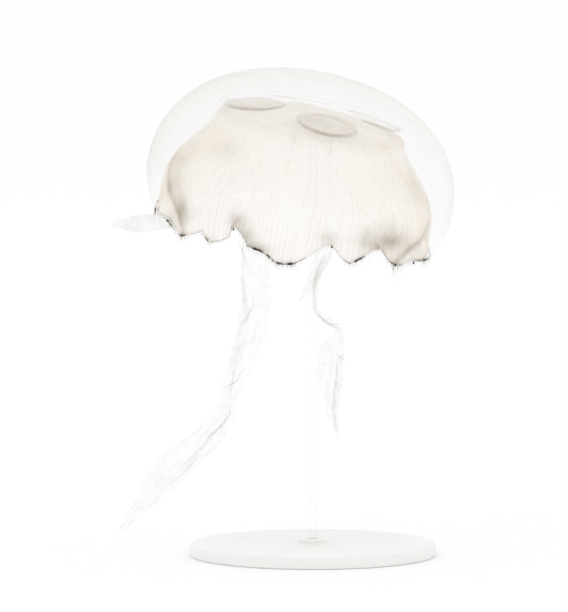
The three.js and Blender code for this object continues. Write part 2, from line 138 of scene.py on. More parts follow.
# Each arm: the corner of the mouth that it starts from, the places it passes through, the reach
# of its left and right veils (fraction of the length, width), its rib's thickness, how far its
# veils are turned from facing the front, how milky they are, how much the rib shows, and the
# number of lengths that it is divided into.
ARMS = {
    "left": dict(
        corner=3,
        route=[
            (-21.4, -16, 245.4), (-34.5, -26, 222.8), (-44.2, -32, 205.7), (-45.2, -34, 189.6),
            (-44.2, -34, 173.3), (-44.6, -32, 158.1), (-47.5, -30, 143.6), (-50.1, -27, 128.9),
            (-53.3, -25, 114.4), (-55.6, -23, 100.5), (-60.5, -21, 87.5), (-70.2, -18, 77.3),
            (-81.9, -16, 66), (-95.5, -14, 53.4), (-106.6, -12, 40.9), (-117, -10, 27.6),
            (-126.1, -8, 16.4),
        ],
        left_veil=[
            (0, 2), (0.3, 1.5), (0.45, 4), (0.6, 6), (0.7, 9), (0.82, 12), (0.93, 5), (1, 0.8),
        ],
        right_veil=[
            (0, 2), (0.2, 10), (0.3, 18), (0.45, 17), (0.6, 5), (0.72, 9), (0.85, 10), (1, 0.8),
        ],
        rib=[(0, 5), (0.3, 3.6), (0.7, 2.6), (1, 1)],
        turn=[(0, 20), (0.4, -12), (0.7, 10), (1, -10)],
        milky=1.0,
        rib_shows=[(0, 0.8), (0.35, 1), (0.62, 0.8), (0.75, 0.1), (1, 0.25)],
        lengths=4,
    ),
    "right": dict(
        corner=0,
        route=[
            (11.7, -14, 246.6), (13.7, -22, 224.4), (10.4, -27, 203.3), (3.2, -29, 187.8),
            (1, -29, 172.2), (3.2, -27, 160.9), (10.4, -25, 154.9), (17.2, -23.5, 149.6),
            (18.2, -22, 140), (16, -21, 126.4), (14.3, -21, 111.5), (14.3, -21, 95.8),
            (16.9, -20, 78.7),
        ],
        left_veil=[(0, 2), (0.4, 2), (0.64, 2.5), (0.7, 15), (0.8, 13), (0.92, 5), (1, 0.8)],
        right_veil=[(0, 4), (0.3, 5), (0.5, 1.5), (0.7, 2), (0.8, 4.5), (0.9, 3), (1, 0.8)],
        rib=[(0, 4.6), (0.4, 3.4), (0.7, 2.4), (1, 1)],
        turn=[(0, -15), (0.5, 0), (0.8, 8), (1, 0)],
        milky=1.2,
        rib_shows=[(0, 0.8), (0.5, 1), (0.62, 0.3), (0.8, 0.9), (1, 0.6)],
        lengths=3,
    ),
    "back": dict(
        corner=1,
        route=[
            (5.9, 22, 249.9), (11.1, 30, 226.4), (11.7, 30, 206.8), (5.9, 26, 189.6),
            (-2, 22, 175.6), (-8.8, 19, 164.4),
        ],
        left_veil=[(0, 2), (0.4, 7), (0.75, 4), (1, 0.8)],
        right_veil=[(0, 2), (0.4, 8), (0.75, 5), (1, 0.8)],
        rib=[(0, 4.6), (0.6, 2.6), (1, 1)],
        turn=[(0, 150), (1, 170)],
        milky=1.0,
        rib_shows=[(0, 0.7), (1, 0.5)],
        lengths=2,
    ),
    "trailing": dict(
        corner=2,
        route=[
            (-32.9, 19.9, 259.1), (-58.6, 33.3, 238.8), (-80.9, 42.9, 221.5), (-96.6, 48.5, 215.8),
            (-109.4, 53.7, 213.6), (-120.7, 59.2, 212.3), (-131.5, 64.4, 211.3),
        ],
        left_veil=[(0, 2), (0.5, 3), (0.7, 5.5), (0.9, 5), (1, 1.2)],
        right_veil=[(0, 2), (0.5, 3), (0.7, 6.5), (0.9, 6), (1, 1.2)],
        rib=[(0, 4.6), (0.6, 2.4), (1, 1)],
        turn=[(0, 0), (1, 12)],
        milky=2.2,
        streaky=0.15,
        frilled=0.3,
        rib_shows=[(0, 0.4), (1, 0.0)],
        lengths=2,
    ),
}


# ---- Small sums ----
def clamp(value, low=0.0, high=1.0):
    return max(low, min(high, value))


def mix(start, end, part):
    return start + (end - start) * part


def around(azimuth, radius, height):
    angle = math.radians(azimuth)
    return Vector((radius * math.sin(angle), -radius * math.cos(angle), height))


def azimuth_of(place):
    return round(math.degrees(math.atan2(place.x, -place.y)), 3)


def gap_between(a, b):
    return abs((a - b + 180) % 360 - 180)


def along(table, position):
    """Straight-line reading of a (position, value) table."""
    k = 0
    while k < len(table) - 2 and position > table[k + 1][0]:
        k += 1
    (x0, y0), (x1, y1) = table[k], table[k + 1]
    return mix(y0, y1, clamp((position - x0) / (x1 - x0)))


def ease(value):
    """0 to 1 with soft ends."""
    part = clamp(value)
    return part * part * (3 - 2 * part)


class Route:
    """A centripetal Catmull-Rom line through places, read by the fraction of its length."""

    PIECES = 14  # straight pieces between two of the places
    STEP = 0.004  # the fraction of the length over which a heading is read

    def __init__(self, places):
        points = [Vector(place) for place in places]
        ends = [2 * points[0] - points[1], *points, 2 * points[-1] - points[-2]]
        self.places = []
        for four in zip(ends, ends[1:], ends[2:], ends[3:]):
            self.places += [self.between(four, k / self.PIECES) for k in range(self.PIECES)]
        self.places.append(points[-1])
        self.reached = [0.0]
        for start, end in zip(self.places, self.places[1:]):
            self.reached.append(self.reached[-1] + (end - start).length)
        self.length = self.reached[-1]

    @staticmethod
    def between(four, part):
        knots = [0.0]
        for start, end in zip(four, four[1:]):
            knots.append(knots[-1] + math.sqrt((end - start).length))
        now = mix(knots[1], knots[2], part)
        level = list(four)
        for width in (1, 2, 3):
            reads = []
            for k in range(len(level) - 1):
                first = k if width < 3 else 1
                last = k + width if width < 3 else 2
                share = (now - knots[first]) / (knots[last] - knots[first])
                reads.append(level[k].lerp(level[k + 1], share))
            level = reads
        return level[0]

    def at(self, part):
        target = clamp(part) * self.length
        k = min(bisect.bisect_right(self.reached, target), len(self.places) - 1)
        span = self.reached[k] - self.reached[k - 1]
        return self.places[k - 1].lerp(self.places[k], (target - self.reached[k - 1]) / span)

    def heading(self, part):
        return (self.at(part + self.STEP) - self.at(part - self.STEP)).normalized()


# ---- The bell's frame ----
LEANING = Matrix.Rotation(math.radians(LEAN), 3, "Y") @ Matrix.Rotation(math.radians(PITCH), 3, "X")
AXIS = LEANING @ Vector((0, 0, 1))
BELL_FRAME = Matrix.Translation(Vector((0, 0, PAD_LEVEL)) - PAD_HEIGHT * AXIS) @ LEANING.to_4x4()
HANGING = LEANING.transposed() @ Vector((0, 0, -1))  # straight down, in the bell's frame


def outer_radius(height):
    below = max(0.0, (WAIST_HEIGHT - height) / WAIST_HEIGHT)
    return MARGIN_RADIUS + (BELL_RADIUS - MARGIN_RADIUS) * (1 - below ** FLARE_POWER)


@functools.lru_cache(None)
def margin_height(azimuth):
    start = MARGIN_LINE[0][0]
    return along(MARGIN_LINE, (azimuth - start) % 360 + start)


@functools.lru_cache(None)
def pleat(azimuth):
    return sum(depth * math.exp(-gap_between(azimuth, at) / FOLD_REACH) for at, depth in FOLDS)


def draped(azimuth, radius, height):
    """A wall's place: below the rim it runs down to the scalloped edge and folds in at notches."""
    low = height + margin_height(azimuth) * clamp((RIM_HEIGHT - height) / RIM_HEIGHT)
    fold = pleat(azimuth) * clamp((PLEAT_TOP - low) / PLEAT_TOP) ** PLEAT_POWER
    return around(azimuth, radius + outer_radius(low) - outer_radius(height) - fold, low)


def radius_of(place):
    return math.hypot(place.x, place.y)


# ---- Shapes made with bmesh operators ----
def spun(profile, steps, closed=False):
    """A skin of revolution about Z through (radius, height) points."""
    shape = bmesh.new()
    line = [shape.verts.new((radius, 0, height)) for radius, height in profile]
    ends = line[1:] + line[:1] if closed else line[1:]
    edges = [shape.edges.new(pair) for pair in zip(line, ends)]
    bmesh.ops.spin(
        shape, geom=line + edges, cent=(0, 0, 0), axis=(0, 0, 1), angle=TURN, steps=steps,
        use_merge=True,
    )
    bmesh.ops.remove_doubles(shape, verts=shape.verts, dist=1e-4)
    bmesh.ops.recalc_face_normals(shape, faces=shape.faces)
    return shape


def tube_blank(sides, rings, patched=False):
    """A capped tube of unit radius and length along Z, as a mesh to copy from. A patched one has
    its own small square on the OFBake map."""
    blank = bmesh.new()
    bmesh.ops.create_cone(blank, cap_ends=True, segments=sides, radius1=1, radius2=1, depth=1)
    lengthways = [e for e in blank.edges if abs(e.verts[0].co.z - e.verts[1].co.z) > 0.5]
    bmesh.ops.subdivide_edges(blank, edges=lengthways, cuts=rings - 1, use_grid_fill=True)
    if patched:
        patch = blank.loops.layers.uv.new("OFBake")
        for face in blank.faces:
            for loop in face.loops:
                place = loop.vert.co
                loop[patch].uv = (0.5 * place.x, 0.15 * place.y + 0.7 * place.z)
    mesh = bpy.data.meshes.new("tube_blank")
    blank.to_mesh(mesh)
    blank.free()
    return mesh


def cross_frames(places):
    """Two directions square to a line at each of its places, carried along without twisting."""
    last = len(places) - 1
    headings = [
        (places[min(k + 1, last)] - places[max(k - 1, 0)]).normalized() for k in range(last + 1)
    ]
    across = headings[0].orthogonal().normalized()
    frames = []
    for before, heading in zip([headings[0]] + headings, headings):
        across = before.rotation_difference(heading) @ across
        across = (across - heading * across.dot(heading)).normalized()
        frames.append((across, heading.cross(across)))
    return frames


def add_tube(shape, blank, places, radii, root=None, tip=None):
    """Adds a tube through places. root is its patch on the OFBake map, and tip a float layer that
    takes the fraction of the way to the tip."""
    rings = len(places) - 1
    frames = cross_frames(places)
    first_vert, first_face = len(shape.verts), len(shape.faces)
    shape.from_mesh(blank)
    shape.verts.ensure_lookup_table()
    shape.faces.ensure_lookup_table()
    for number in range(first_vert, len(shape.verts)):
        vert = shape.verts[number]
        part = vert.co.z + 0.5
        k = round(part * rings)
        across, up = frames[k]
        vert.co = places[k] + (across * vert.co.x + up * vert.co.y) * radii[k]
        if tip:
            vert[tip] = part
    if root:
        patch = shape.loops.layers.uv["OFBake"]
        for number in range(first_face, len(shape.faces)):
            for loop in shape.faces[number].loops:
                loop[patch].uv = Vector(root) + loop[patch].uv * PATCH


def piece(name, shape, material, replaced=(), bell=True):
    """Finishes a shape in millimetres as a piece of the scene: placed, smooth, and riding."""
    if bell:
        bmesh.ops.transform(shape, matrix=BELL_FRAME, verts=shape.verts)
    bmesh.ops.scale(shape, vec=(MM, MM, MM), verts=shape.verts)
    mesh = bpy.data.meshes.new(name)
    shape.to_mesh(mesh)
    shape.free()
    mesh.shade_smooth()
    mesh.materials.append(material)
    made = bpy.data.objects.new(name, mesh)
    bpy.context.scene.collection.objects.link(made)
    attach(made, "root")
    if replaced:
        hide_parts(*replaced)


# ---- Materials ----
UNDER_JELLY = 0.05  # specular level of flesh against the jelly, which bends light as it does
SOFT = {"interpolation_type": "SMOOTHSTEP"}  # a range with soft ends
BLEND = {"output": 2, "data_type": "RGBA"}  # a mix of the two colours in sockets 6 and 7
TIMES = {"operation": "MULTIPLY"}


def linear(colour):
    """A '#rrggbb' sRGB colour as linear red, green, blue, alpha."""
    parts = [int(colour[k:k + 2], 16) / 255 for k in (1, 3, 5)]
    straight = [c / 12.92 if c <= 0.04045 else ((c + 0.055) / 1.055) ** 2.4 for c in parts]
    return (*straight, 1.0)


def node(tree, kind, inputs=(), output=0, **settings):
    """Adds a shader node with its settings and links, and gives one of its outputs. inputs holds,
    by place or by name, a socket's value, its colour, or the output that feeds it."""
    made = tree.nodes.new("ShaderNode" + kind)
    for name, value in settings.items():
        setattr(made, name, value)
    for socket, value in inputs.items() if isinstance(inputs, dict) else enumerate(inputs):
        if isinstance(value, bpy.types.NodeSocket):
            tree.links.new(value, made.inputs[socket])
        else:
            made.inputs[socket].default_value = linear(value) if isinstance(value, str) else value
    return made.outputs[output] if len(made.outputs) else None


def new_material(name):
    """An empty material, and the node function bound to it."""
    material = bpy.data.materials.new(name)
    material.use_nodes = True
    material.node_tree.nodes.clear()
    return material, functools.partial(node, material.node_tree)


def object_millimetres(add):
    place = add("TexCoord", output="Object")
    return add("VectorMath", {0: place, "Scale": 1 / MM}, operation="SCALE")


def squareness(add):
    """1 where a face is seen square on and 0 where it is seen edge on."""
    facing = add("LayerWeight", {"Blend": 0.5}, "Facing")
    return add("Math", (1.0, facing), operation="SUBTRACT", use_clamp=True)


def slant_haze(add, haze, longest=11.0):
    """How much a thin wall hides. It is haze where it is seen square on, and more where it slants
    away, as the light's path through it is longer, up to longest times."""
    slant = add("Math", (squareness(add), 1 / longest), operation="MAXIMUM")
    path = add("Math", (1.0, slant), operation="DIVIDE")
    clear = add("Math", (1.0, haze), operation="SUBTRACT")
    passed = add("Math", (clear, path), operation="POWER")
    return add("Math", (1.0, passed), operation="SUBTRACT", use_clamp=True)


def cord_haze(add, haze):
    """How much a solid round cord hides: haze along its middle, and less at its sides, as the
    light's path through it is shorter there."""
    depth = add("Math", (squareness(add), 1.3), operation="POWER")
    return add("Math", (haze, depth), use_clamp=True, **TIMES)


def surface(add, inputs, bump=None, bump_height=0.0):
    """The Principled shader and the output, with a bump of bump_height millimetres."""
    if bump:
        height = {"Height": bump, "Distance": bump_height * MM, "Strength": 1.0}
        inputs = {**inputs, "Normal": add("Bump", height)}
    add("OutputMaterial", {"Surface": add("BsdfPrincipled", inputs)})


# Clear living jelly, smooth and wet: a colourless dome that shows grey only at its rim, with the
# faintest cloudiness and a gloss.
def clear_jelly():
    material, add = new_material("living_jelly_wet")
    place = object_millimetres(add)
    cloud = add("TexNoise", {"Vector": place, "Scale": 1 / 26, "Detail": 2.0})
    grain = add("TexNoise", {"Vector": place, "Scale": 1 / 1.6, "Detail": 2.0})
    thickness = add("Attribute", (), "Fac", attribute_name="thickness")
    cloudy = add("MapRange", (cloud, 0.3, 0.7, 0.85, 1.15), **SOFT)
    grainy = add("MapRange", (grain, 0.3, 0.7, 0.88, 1.12), **SOFT)
    haze = add("Math", (add("Math", (cloudy, thickness), **TIMES), grainy), **TIMES)
    surface(add, {
        "Base Color": add("Mix", {0: cloud, 6: "#c9c8bb", 7: "#d2d0c5"}, **BLEND),
        "Roughness": add("MapRange", (grain, 0.2, 0.8, 0.12, 0.26), **SOFT),
        "IOR": 1.34,
        "Alpha": slant_haze(add, haze, 8.5),
    }, cloud, 0.5)
    return material


# The muscle sheet under the jelly: thin milky flesh with fine radial creases, warm ivory where it
# is stretched, olive where it is gathered at the notches and seen through several folds. The olive
# is partly the denser doubled tissue and partly painted shade in the folds and creases.
def muscle_sheet():
    material, add = new_material("muscle_sheet_creased")
    fibre = add("Attribute", (), "Vector", attribute_name="fibre")
    place = object_millimetres(add)
    wander = add("TexNoise", {"Vector": fibre, "Scale": 1 / 14, "Detail": 2.0})
    fine = add("TexNoise", {"Vector": fibre, "Scale": 1 / 1.5, "Detail": 2.0})
    cloud = add("TexNoise", {"Vector": place, "Scale": 1 / 16, "Detail": 3.0})
    patches = add("TexNoise", {"Vector": place, "Scale": 1 / 30, "Detail": 1.0})

    # A wave round the bell, one for each gather, whose sharp crests are the creases.
    across = add("SeparateXYZ", {"Vector": fibre}, "X")
    azimuth = add("Math", (across, across.node.outputs["Y"]), operation="ARCTAN2")
    drift = add("Math", (wander, 9.0), **TIMES)
    turn = add("Math", (azimuth, float(GATHERS), drift), operation="MULTIPLY_ADD")
    wave = add("Math", (turn,), operation="SINE")
    crest = add("Math", (wave, 0.5, 0.5), operation="MULTIPLY_ADD")
    crease = add("Math", (crest, 3.5), operation="POWER")

    # The creases and finer fibres together, fading up the bell and in patches.
    ragged = add("MapRange", (patches, 0.3, 0.7, 0.45, 1.3), **SOFT)
    lines = add("Math", (add("Attribute", (), "Fac", attribute_name="lines"), ragged), **TIMES)
    threads = add("MapRange", (fine, 0.4, 0.7, -0.12, 0.3), **SOFT)
    relief = add("Math", (crease, 0.6, threads), operation="MULTIPLY_ADD")
    ribbing = add("Math", (lines, relief), **TIMES)

    # The darker patches are partly denser tissue and partly painted shade in the folds and creases.
    # They darken the colour and thicken the haze.
    blotches = add("MapRange", (cloud, 0.3, 0.7, 0.75, 1.2), **SOFT)
    stain_and_fold_shade = add("Math", (add("Attribute", (), "Fac", attribute_name="stain_and_fold_shade"), blotches), **TIMES)
    dark = add("Math", (ribbing, 0.09, stain_and_fold_shade), operation="MULTIPLY_ADD", use_clamp=True)
    ivory_part = add("MapRange", (patches, 0.3, 0.7, 0.0, 1.0), **SOFT)
    ivory = add("Mix", {0: ivory_part, 6: "#f8efe2", 7: "#f5efe5"}, **BLEND)

    cloudy = add("MapRange", (cloud, 0.3, 0.7, 0.85, 1.1), **SOFT)
    ribbed = add("Math", (cloudy, add("Math", (ribbing, 0.28), **TIMES)), operation="ADD")
    thickness = add("Attribute", (), "Fac", attribute_name="thickness")
    haze = add("Math", (thickness, ribbed), **TIMES)
    stained_and_shaded = add("Math", (dark, 0.3, haze), operation="MULTIPLY_ADD")
    surface(add, {
        "Base Color": add("Mix", {0: dark, 6: ivory, 7: "#846a36"}, **BLEND),
        "Roughness": add("MapRange", (fine, 0.2, 0.8, 0.5, 0.7), **SOFT),
        "IOR": 1.36,
        "Specular IOR Level": UNDER_JELLY,
        "Alpha": slant_haze(add, stained_and_shaded, 2.4),
    }, ribbing, 0.1)
    return material


# The thickened edge of the bell: a firm cord crowded with tentacle roots, so a dark olive line
# that is broken and beaded.
def margin_flesh():
    material, add = new_material("margin_cord_beaded")
    place = object_millimetres(add)
    beads = add("TexVoronoi", {"Vector": place, "Scale": 1 / 1.1}, "Distance")
    patches = add("TexNoise", {"Vector": place, "Scale": 1 / 6, "Detail": 3.0})
    dark = add("Attribute", (), "Fac", attribute_name="dark")
    broken = add("MapRange", (patches, 0.3, 0.7, 0.75, 1.2), **SOFT)
    depth = add("Math", (dark, broken), use_clamp=True, **TIMES)
    surface(add, {
        "Base Color": add("Mix", {0: depth, 6: "#93794e", 7: "#32271a"}, **BLEND),
        "Roughness": add("MapRange", (beads, 0.1, 0.6, 0.35, 0.6), **SOFT),
        "IOR": 1.38,
        "Alpha": add("MapRange", (depth, 0.0, 1.0, 0.0, 0.92), **SOFT),
    }, beads, 0.3)
    return material


# Marginal tentacles: hair-fine, brown at the root where they bunch and glassy at the tip.
def tentacle_flesh():
    material, add = new_material("tentacle_hair_fine")
    place = object_millimetres(add)
    patches = add("TexNoise", {"Vector": place, "Scale": 1 / 5, "Detail": 2.0})
    tip = add("Attribute", (), "Fac", attribute_name="tip")
    dark = add("Attribute", (), "Fac", attribute_name="dark")
    glassy = add("MapRange", (tip, 0.0, 0.8, 1.0, 0.2), **SOFT)
    uneven = add("MapRange", (patches, 0.3, 0.7, 0.6, 1.1), **SOFT)
    tip_part = add("MapRange", (tip, 0.0, 0.8, 0.0, 1.0), **SOFT)
    fade = add("Math", (glassy, uneven), **TIMES)
    surface(add, {
        "Base Color": add("Mix", {0: tip_part, 6: "#5f4d31", 7: "#ab9a74"}, **BLEND),
        "Roughness": 0.4,
        "IOR": 1.36,
        "Alpha": add("Math", (fade, dark), use_clamp=True, **TIMES),
    }, patches, 0.05)
    return material


# Sense organs: a speck of brown pigment in a clear hood.
def sense_organ_pigment():
    material, add = new_material("sense_organ_pigment")
    place = object_millimetres(add)
    speckle = add("TexNoise", {"Vector": place, "Scale": 1 / 0.6, "Detail": 3.0})
    dark = add("Attribute", (), "Fac", attribute_name="dark")
    dense = add("MapRange", (speckle, 0.3, 0.7, 0.8, 0.95), **SOFT)
    surface(add, {
        "Base Color": add("Mix", {0: speckle, 6: "#2b1f10", 7: "#6a5330"}, **BLEND),
        "Roughness": 0.35,
        "IOR": 1.38,
        "Alpha": add("Math", (dense, dark), **TIMES),
    }, speckle, 0.1)
    return material


# Gonads: soft folded ribbons of mauve brown tissue, darkest along the middle of the cord.
def gonad_tissue():
    material, add = new_material("gonad_folded_ribbon")
    place = object_millimetres(add)
    folds = add("TexNoise", {"Vector": place, "Scale": 1 / 2.2, "Detail": 3.0})
    broad = add("TexNoise", {"Vector": place, "Scale": 1 / 14, "Detail": 2.0})
    thickness = add("Attribute", (), "Fac", attribute_name="thickness")
    folded = add("MapRange", (folds, 0.3, 0.7, 0.8, 1.15), **SOFT)
    broad_part = add("MapRange", (broad, 0.35, 0.65, 0.0, 1.0), **SOFT)
    surface(add, {
        "Base Color": add("Mix", {0: broad_part, 6: "#7a6350", 7: "#8d7868"}, **BLEND),
        "Roughness": add("MapRange", (folds, 0.2, 0.8, 0.4, 0.6), **SOFT),
        "IOR": 1.38,
        "Specular IOR Level": UNDER_JELLY,
        "Alpha": cord_haze(add, add("Math", (thickness, folded), **TIMES)),
    }, folds, 0.3)
    return material


# The thin pouch skin inside each horseshoe: a greenish beige film.
def pouch_film():
    material, add = new_material("stomach_pouch_film")
    place = object_millimetres(add)
    patches = add("TexNoise", {"Vector": place, "Scale": 1 / 7, "Detail": 3.0})
    thickness = add("Attribute", (), "Fac", attribute_name="thickness")
    patchy = add("MapRange", (patches, 0.25, 0.75, 0.8, 1.2), **SOFT)
    surface(add, {
        "Base Color": add("Mix", {0: patches, 6: "#b09c82", 7: "#c4b59c"}, **BLEND),
        "Roughness": 0.5,
        "IOR": 1.35,
        "Specular IOR Level": UNDER_JELLY,
        "Alpha": add("Math", (thickness, patchy), **TIMES),
    }, patches, 0.2)
    return material


# Radial canals: threads a shade pinker than the sheet that they run over.
def canal_thread():
    material, add = new_material("radial_canal_thread")
    place = object_millimetres(add)
    patches = add("TexNoise", {"Vector": place, "Scale": 1 / 8, "Detail": 2.0})
    thickness = add("Attribute", (), "Fac", attribute_name="thickness")
    patchy = add("MapRange", (patches, 0.35, 0.65, 0.01, 0.12), **SOFT)
    surface(add, {
        "Base Color": add("Mix", {0: patches, 6: "#c09a84", 7: "#d2b9a6"}, **BLEND),
        "Roughness": 0.5,
        "IOR": 1.36,
        "Specular IOR Level": UNDER_JELLY,
        "Alpha": cord_haze(add, add("Math", (thickness, patchy), **TIMES)),
    }, patches, 0.05)
    return material


# Oral arms: wet colourless veils that show where they fold or slant, with greyer, denser strands
# along the rib.
def arm_veil():
    material, add = new_material("oral_arm_veil_wet")
    place = object_millimetres(add)
    cloud = add("TexNoise", {"Vector": place, "Scale": 1 / 7, "Detail": 3.0})
    grain = add("TexNoise", {"Vector": place, "Scale": 1 / 1.3, "Detail": 2.0})
    thickness = add("Attribute", (), "Fac", attribute_name="thickness")
    cloudy = add("MapRange", (cloud, 0.3, 0.7, 0.6, 1.4), **SOFT)
    dense_part = add("MapRange", (thickness, 0.02, 0.3, 0.0, 1.0), **SOFT)
    surface(add, {
        "Base Color": add("Mix", {0: dense_part, 6: "#bdbdb5", 7: "#8d8b7b"}, **BLEND),
        "Roughness": add("MapRange", (grain, 0.2, 0.8, 0.22, 0.42), **SOFT),
        "IOR": 1.35,
        "Alpha": slant_haze(add, add("Math", (thickness, cloudy), **TIMES), 3.2),
    }, grain, 0.1)
    return material


# The arms' dense strands: the same flesh gathered into solid, soft-edged threads.
def arm_strand():
    material, add = new_material("oral_arm_strand_wet")
    place = object_millimetres(add)
    patches = add("TexNoise", {"Vector": place, "Scale": 1 / 4, "Detail": 3.0})
    thickness = add("Attribute", (), "Fac", attribute_name="thickness")
    patchy = add("MapRange", (patches, 0.3, 0.7, 0.6, 1.3), **SOFT)
    surface(add, {
        "Base Color": add("Mix", {0: patches, 6: "#85826c", 7: "#9d9a88"}, **BLEND),
        "Roughness": add("MapRange", (patches, 0.2, 0.8, 0.25, 0.4), **SOFT),
        "IOR": 1.36,
        "Alpha": cord_haze(add, add("Math", (thickness, patchy), **TIMES)),
    }, patches, 0.1)
    return material


# Cast acrylic sheet, white, machined and left satin: an even white with a soft sheen.
def white_acrylic():
    material, add = new_material("acrylic_white_satin")
    place = object_millimetres(add)
    haze = add("TexNoise", {"Vector": place, "Scale": 1 / 30, "Detail": 2.0})
    surface(add, {
        "Base Color": add("Mix", {0: haze, 6: "#ededeb", 7: "#f1f1ef"}, **BLEND),
        "Roughness": add("MapRange", (haze, 0.3, 0.7, 0.3, 0.36), **SOFT),
        "IOR": 1.49,
    }, haze, 0.02)
    return material


# Extruded acrylic rod, clear and polished: it shows as two fine grey edges.
def clear_acrylic():
    material, add = new_material("acrylic_clear_polished")
    place = object_millimetres(add)
    streaks = add("TexNoise", {"Vector": place, "Scale": 1 / 12, "Detail": 2.0})
    surface(add, {
        "Base Color": add("Mix", {0: streaks, 6: "#dfe5e4", 7: "#eef2f1"}, **BLEND),
        "Roughness": add("MapRange", (streaks, 0.3, 0.7, 0.04, 0.08), **SOFT),
        "IOR": 1.49,
        "Alpha": slant_haze(add, add("MapRange", (streaks, 0.3, 0.7, 0.018, 0.028), **SOFT)),
    })
    return material


# White paper laid as the floor, matt, with the faintest tooth.
def floor_paper():
    material, add = new_material("floor_paper_matt")
    place = object_millimetres(add)
    tooth = add("TexNoise", {"Vector": place, "Scale": 1 / 60, "Detail": 2.0})
    surface(add, {
        "Base Color": add("Mix", {0: tooth, 6: "#fbfbfb", 7: "#fdfdfd"}, **BLEND),
        "Roughness": 0.9,
    })
    return material


# ---- Bell ----
BELL_STEPS = 360
CROWN_ROWS = 54
SKIRT_ROWS = 22
INNER_ROWS = 10
SKIN_HAZE = 0.03  # the outer face, seen square on
ROOF_HAZE = 0.004  # the inner face
SKIN_DEPTH = 0.4  # what lies nearer than this to the outer line is the outer face
ROOF_TOP = 88.5  # above this height there is only the outer face


def crown_line(steps):
    """The outer line from the apex over the crown to the waist."""
    line = []
    for k in range(steps + 1):
        angle = math.pi / 2 * (1 - k / steps)
        radius = BELL_RADIUS * max(0.0, math.cos(angle)) ** (2 / CROWN_POWER)
        rise = (APEX_HEIGHT - WAIST_HEIGHT) * math.sin(angle) ** (2 / CROWN_POWER)
        line.append((0.0 if k == 0 else radius, WAIST_HEIGHT + rise))
    return line


def profile_line(points, steps):
    route = Route([(radius, 0, height) for radius, height in points])
    return [(place.x, place.z) for place in (route.at(k / steps) for k in range(steps + 1))]


def make_bell():
    """The clear jelly: crown, skirt down to the scalloped margin, and the roof of the hollow."""
    outside = crown_line(CROWN_ROWS)
    skirt = [mix(WAIST_HEIGHT, 0, k / SKIRT_ROWS) for k in range(1, SKIRT_ROWS + 1)]
    outside += [(outer_radius(height), height) for height in skirt]
    edge = [(MARGIN_RADIUS - SKIRT_WALL * 0.5, -0.4)]
    inner_skirt = [
        (MARGIN_RADIUS - SKIRT_WALL, mix(0, RIM_HEIGHT - 2, k / INNER_ROWS))
        for k in range(INNER_ROWS)
    ]
    roof = profile_line(ROOF_LINE, CROWN_ROWS)
    roof.reverse()
    roof[-1] = (0.0, roof[-1][1])
    shape = spun(outside + edge + inner_skirt + roof, BELL_STEPS)
    thickness = shape.verts.layers.float.new("thickness")
    for vert in shape.verts:
        radius = radius_of(vert.co)
        height = vert.co.z
        above = max(height - WAIST_HEIGHT, 0) / (APEX_HEIGHT - WAIST_HEIGHT)
        crown = BELL_RADIUS * max(0, 1 - above ** CROWN_POWER) ** (1 / CROWN_POWER)
        skin_radius = crown if above > 0 else outer_radius(height)
        outer = height > ROOF_TOP or radius > skin_radius - SKIN_DEPTH
        # Fuller at the crown and on the left, and thinner towards the margin.
        fuller = 0.4 * ease((height - 60) / 40) + 0.75 * max(0, -vert.co.x) / BELL_RADIUS
        thin = mix(0.3, 1, ease((height - 2) / 34))
        vert[thickness] = (SKIN_HAZE if outer else ROOF_HAZE) * (1 + fuller) * thin
        if radius > 1 and height < PLEAT_TOP + 2:
            vert.co = draped(azimuth_of(vert.co), radius, height)
    replaced = ["bell"] + [f"lappet_{k}" for k in range(1, 9)]
    piece("bell_jelly", shape, clear_jelly(), replaced)


# ---- Muscle sheet ----
SHEET_STEPS = 600
SHEET_ROWS = 76
SHEET_HAZE = 0.155  # one face of the sheet, seen square on
STOMACH_HAZE = 0.062  # one face of the stomach's floor
STOMACH_RADIUS = 62.4
STOMACH_STAIN = 0.16
BACK_FROM = 92  # the back of the bell starts this many degrees from the front
# Where the sheet is gathered or doubled and so darker, partly denser tissue and partly painted
# shade in the folds: azimuth, height, half width in degrees, half height in millimetres, strength.
DENSE_AND_SHADED_PATCHES = [
    (-57, 11, 6, 8, 0.66), (-68, 22, 9, 9, 0.3), (-78, 40, 14, 12, 0.22), (-50, 56, 14, 7, 0.16),
    (-24.5, 17, 4.5, 6, 0.62), (-19, 9, 4, 5, 0.45), (-12, 4, 6, 3, 0.35), (15.5, 18, 5, 4, 0.3),
    (33, 18, 6, 7, 0.36), (42, 21, 10, 9, 0.5), (51, 17, 7, 7, 0.34), (66, 14, 8, 6, 0.2),
    (76, 48, 12, 12, 0.22), (108, 14, 8, 8, 0.4), (153, 15, 8, 8, 0.35), (198, 15, 8, 8, 0.35),
    (244, 13, 8, 9, 0.4),
]
# Long soft creases, painted darker as shade: the places they pass (azimuth, height), half width,
# strength.
CREASES = [
    ([(104, 46), (90, 38), (81, 28), (70, 18), (58, 12), (49, 4)], 2.4, 0.34),
    ([(-102, 46), (-84, 34), (-70, 20), (-58, 8), (-54, -4)], 2.6, 0.3),
    ([(122, 30), (128, 16), (130, 4)], 2.6, 0.2),
    ([(236, 30), (228, 16), (221, 4)], 2.6, 0.2),
]
# Paler middles between the notches.
LOBES = [(0, 26, 14, 18), (-42, 22, 9, 12), (27, 24, 7, 12), (86, 12, 14, 10), (-86, 12, 12, 10)]
DEGREE = 1.57  # millimetres of the wall in one degree


def mound(azimuth, height, place):
    """1 at the middle of a place (azimuth, height, half width, half height), and 0 far off."""
    at, tall, wide, spread = place
    return math.exp(-(gap_between(azimuth, at) / wide) ** 2 - ((height - tall) / spread) ** 2)


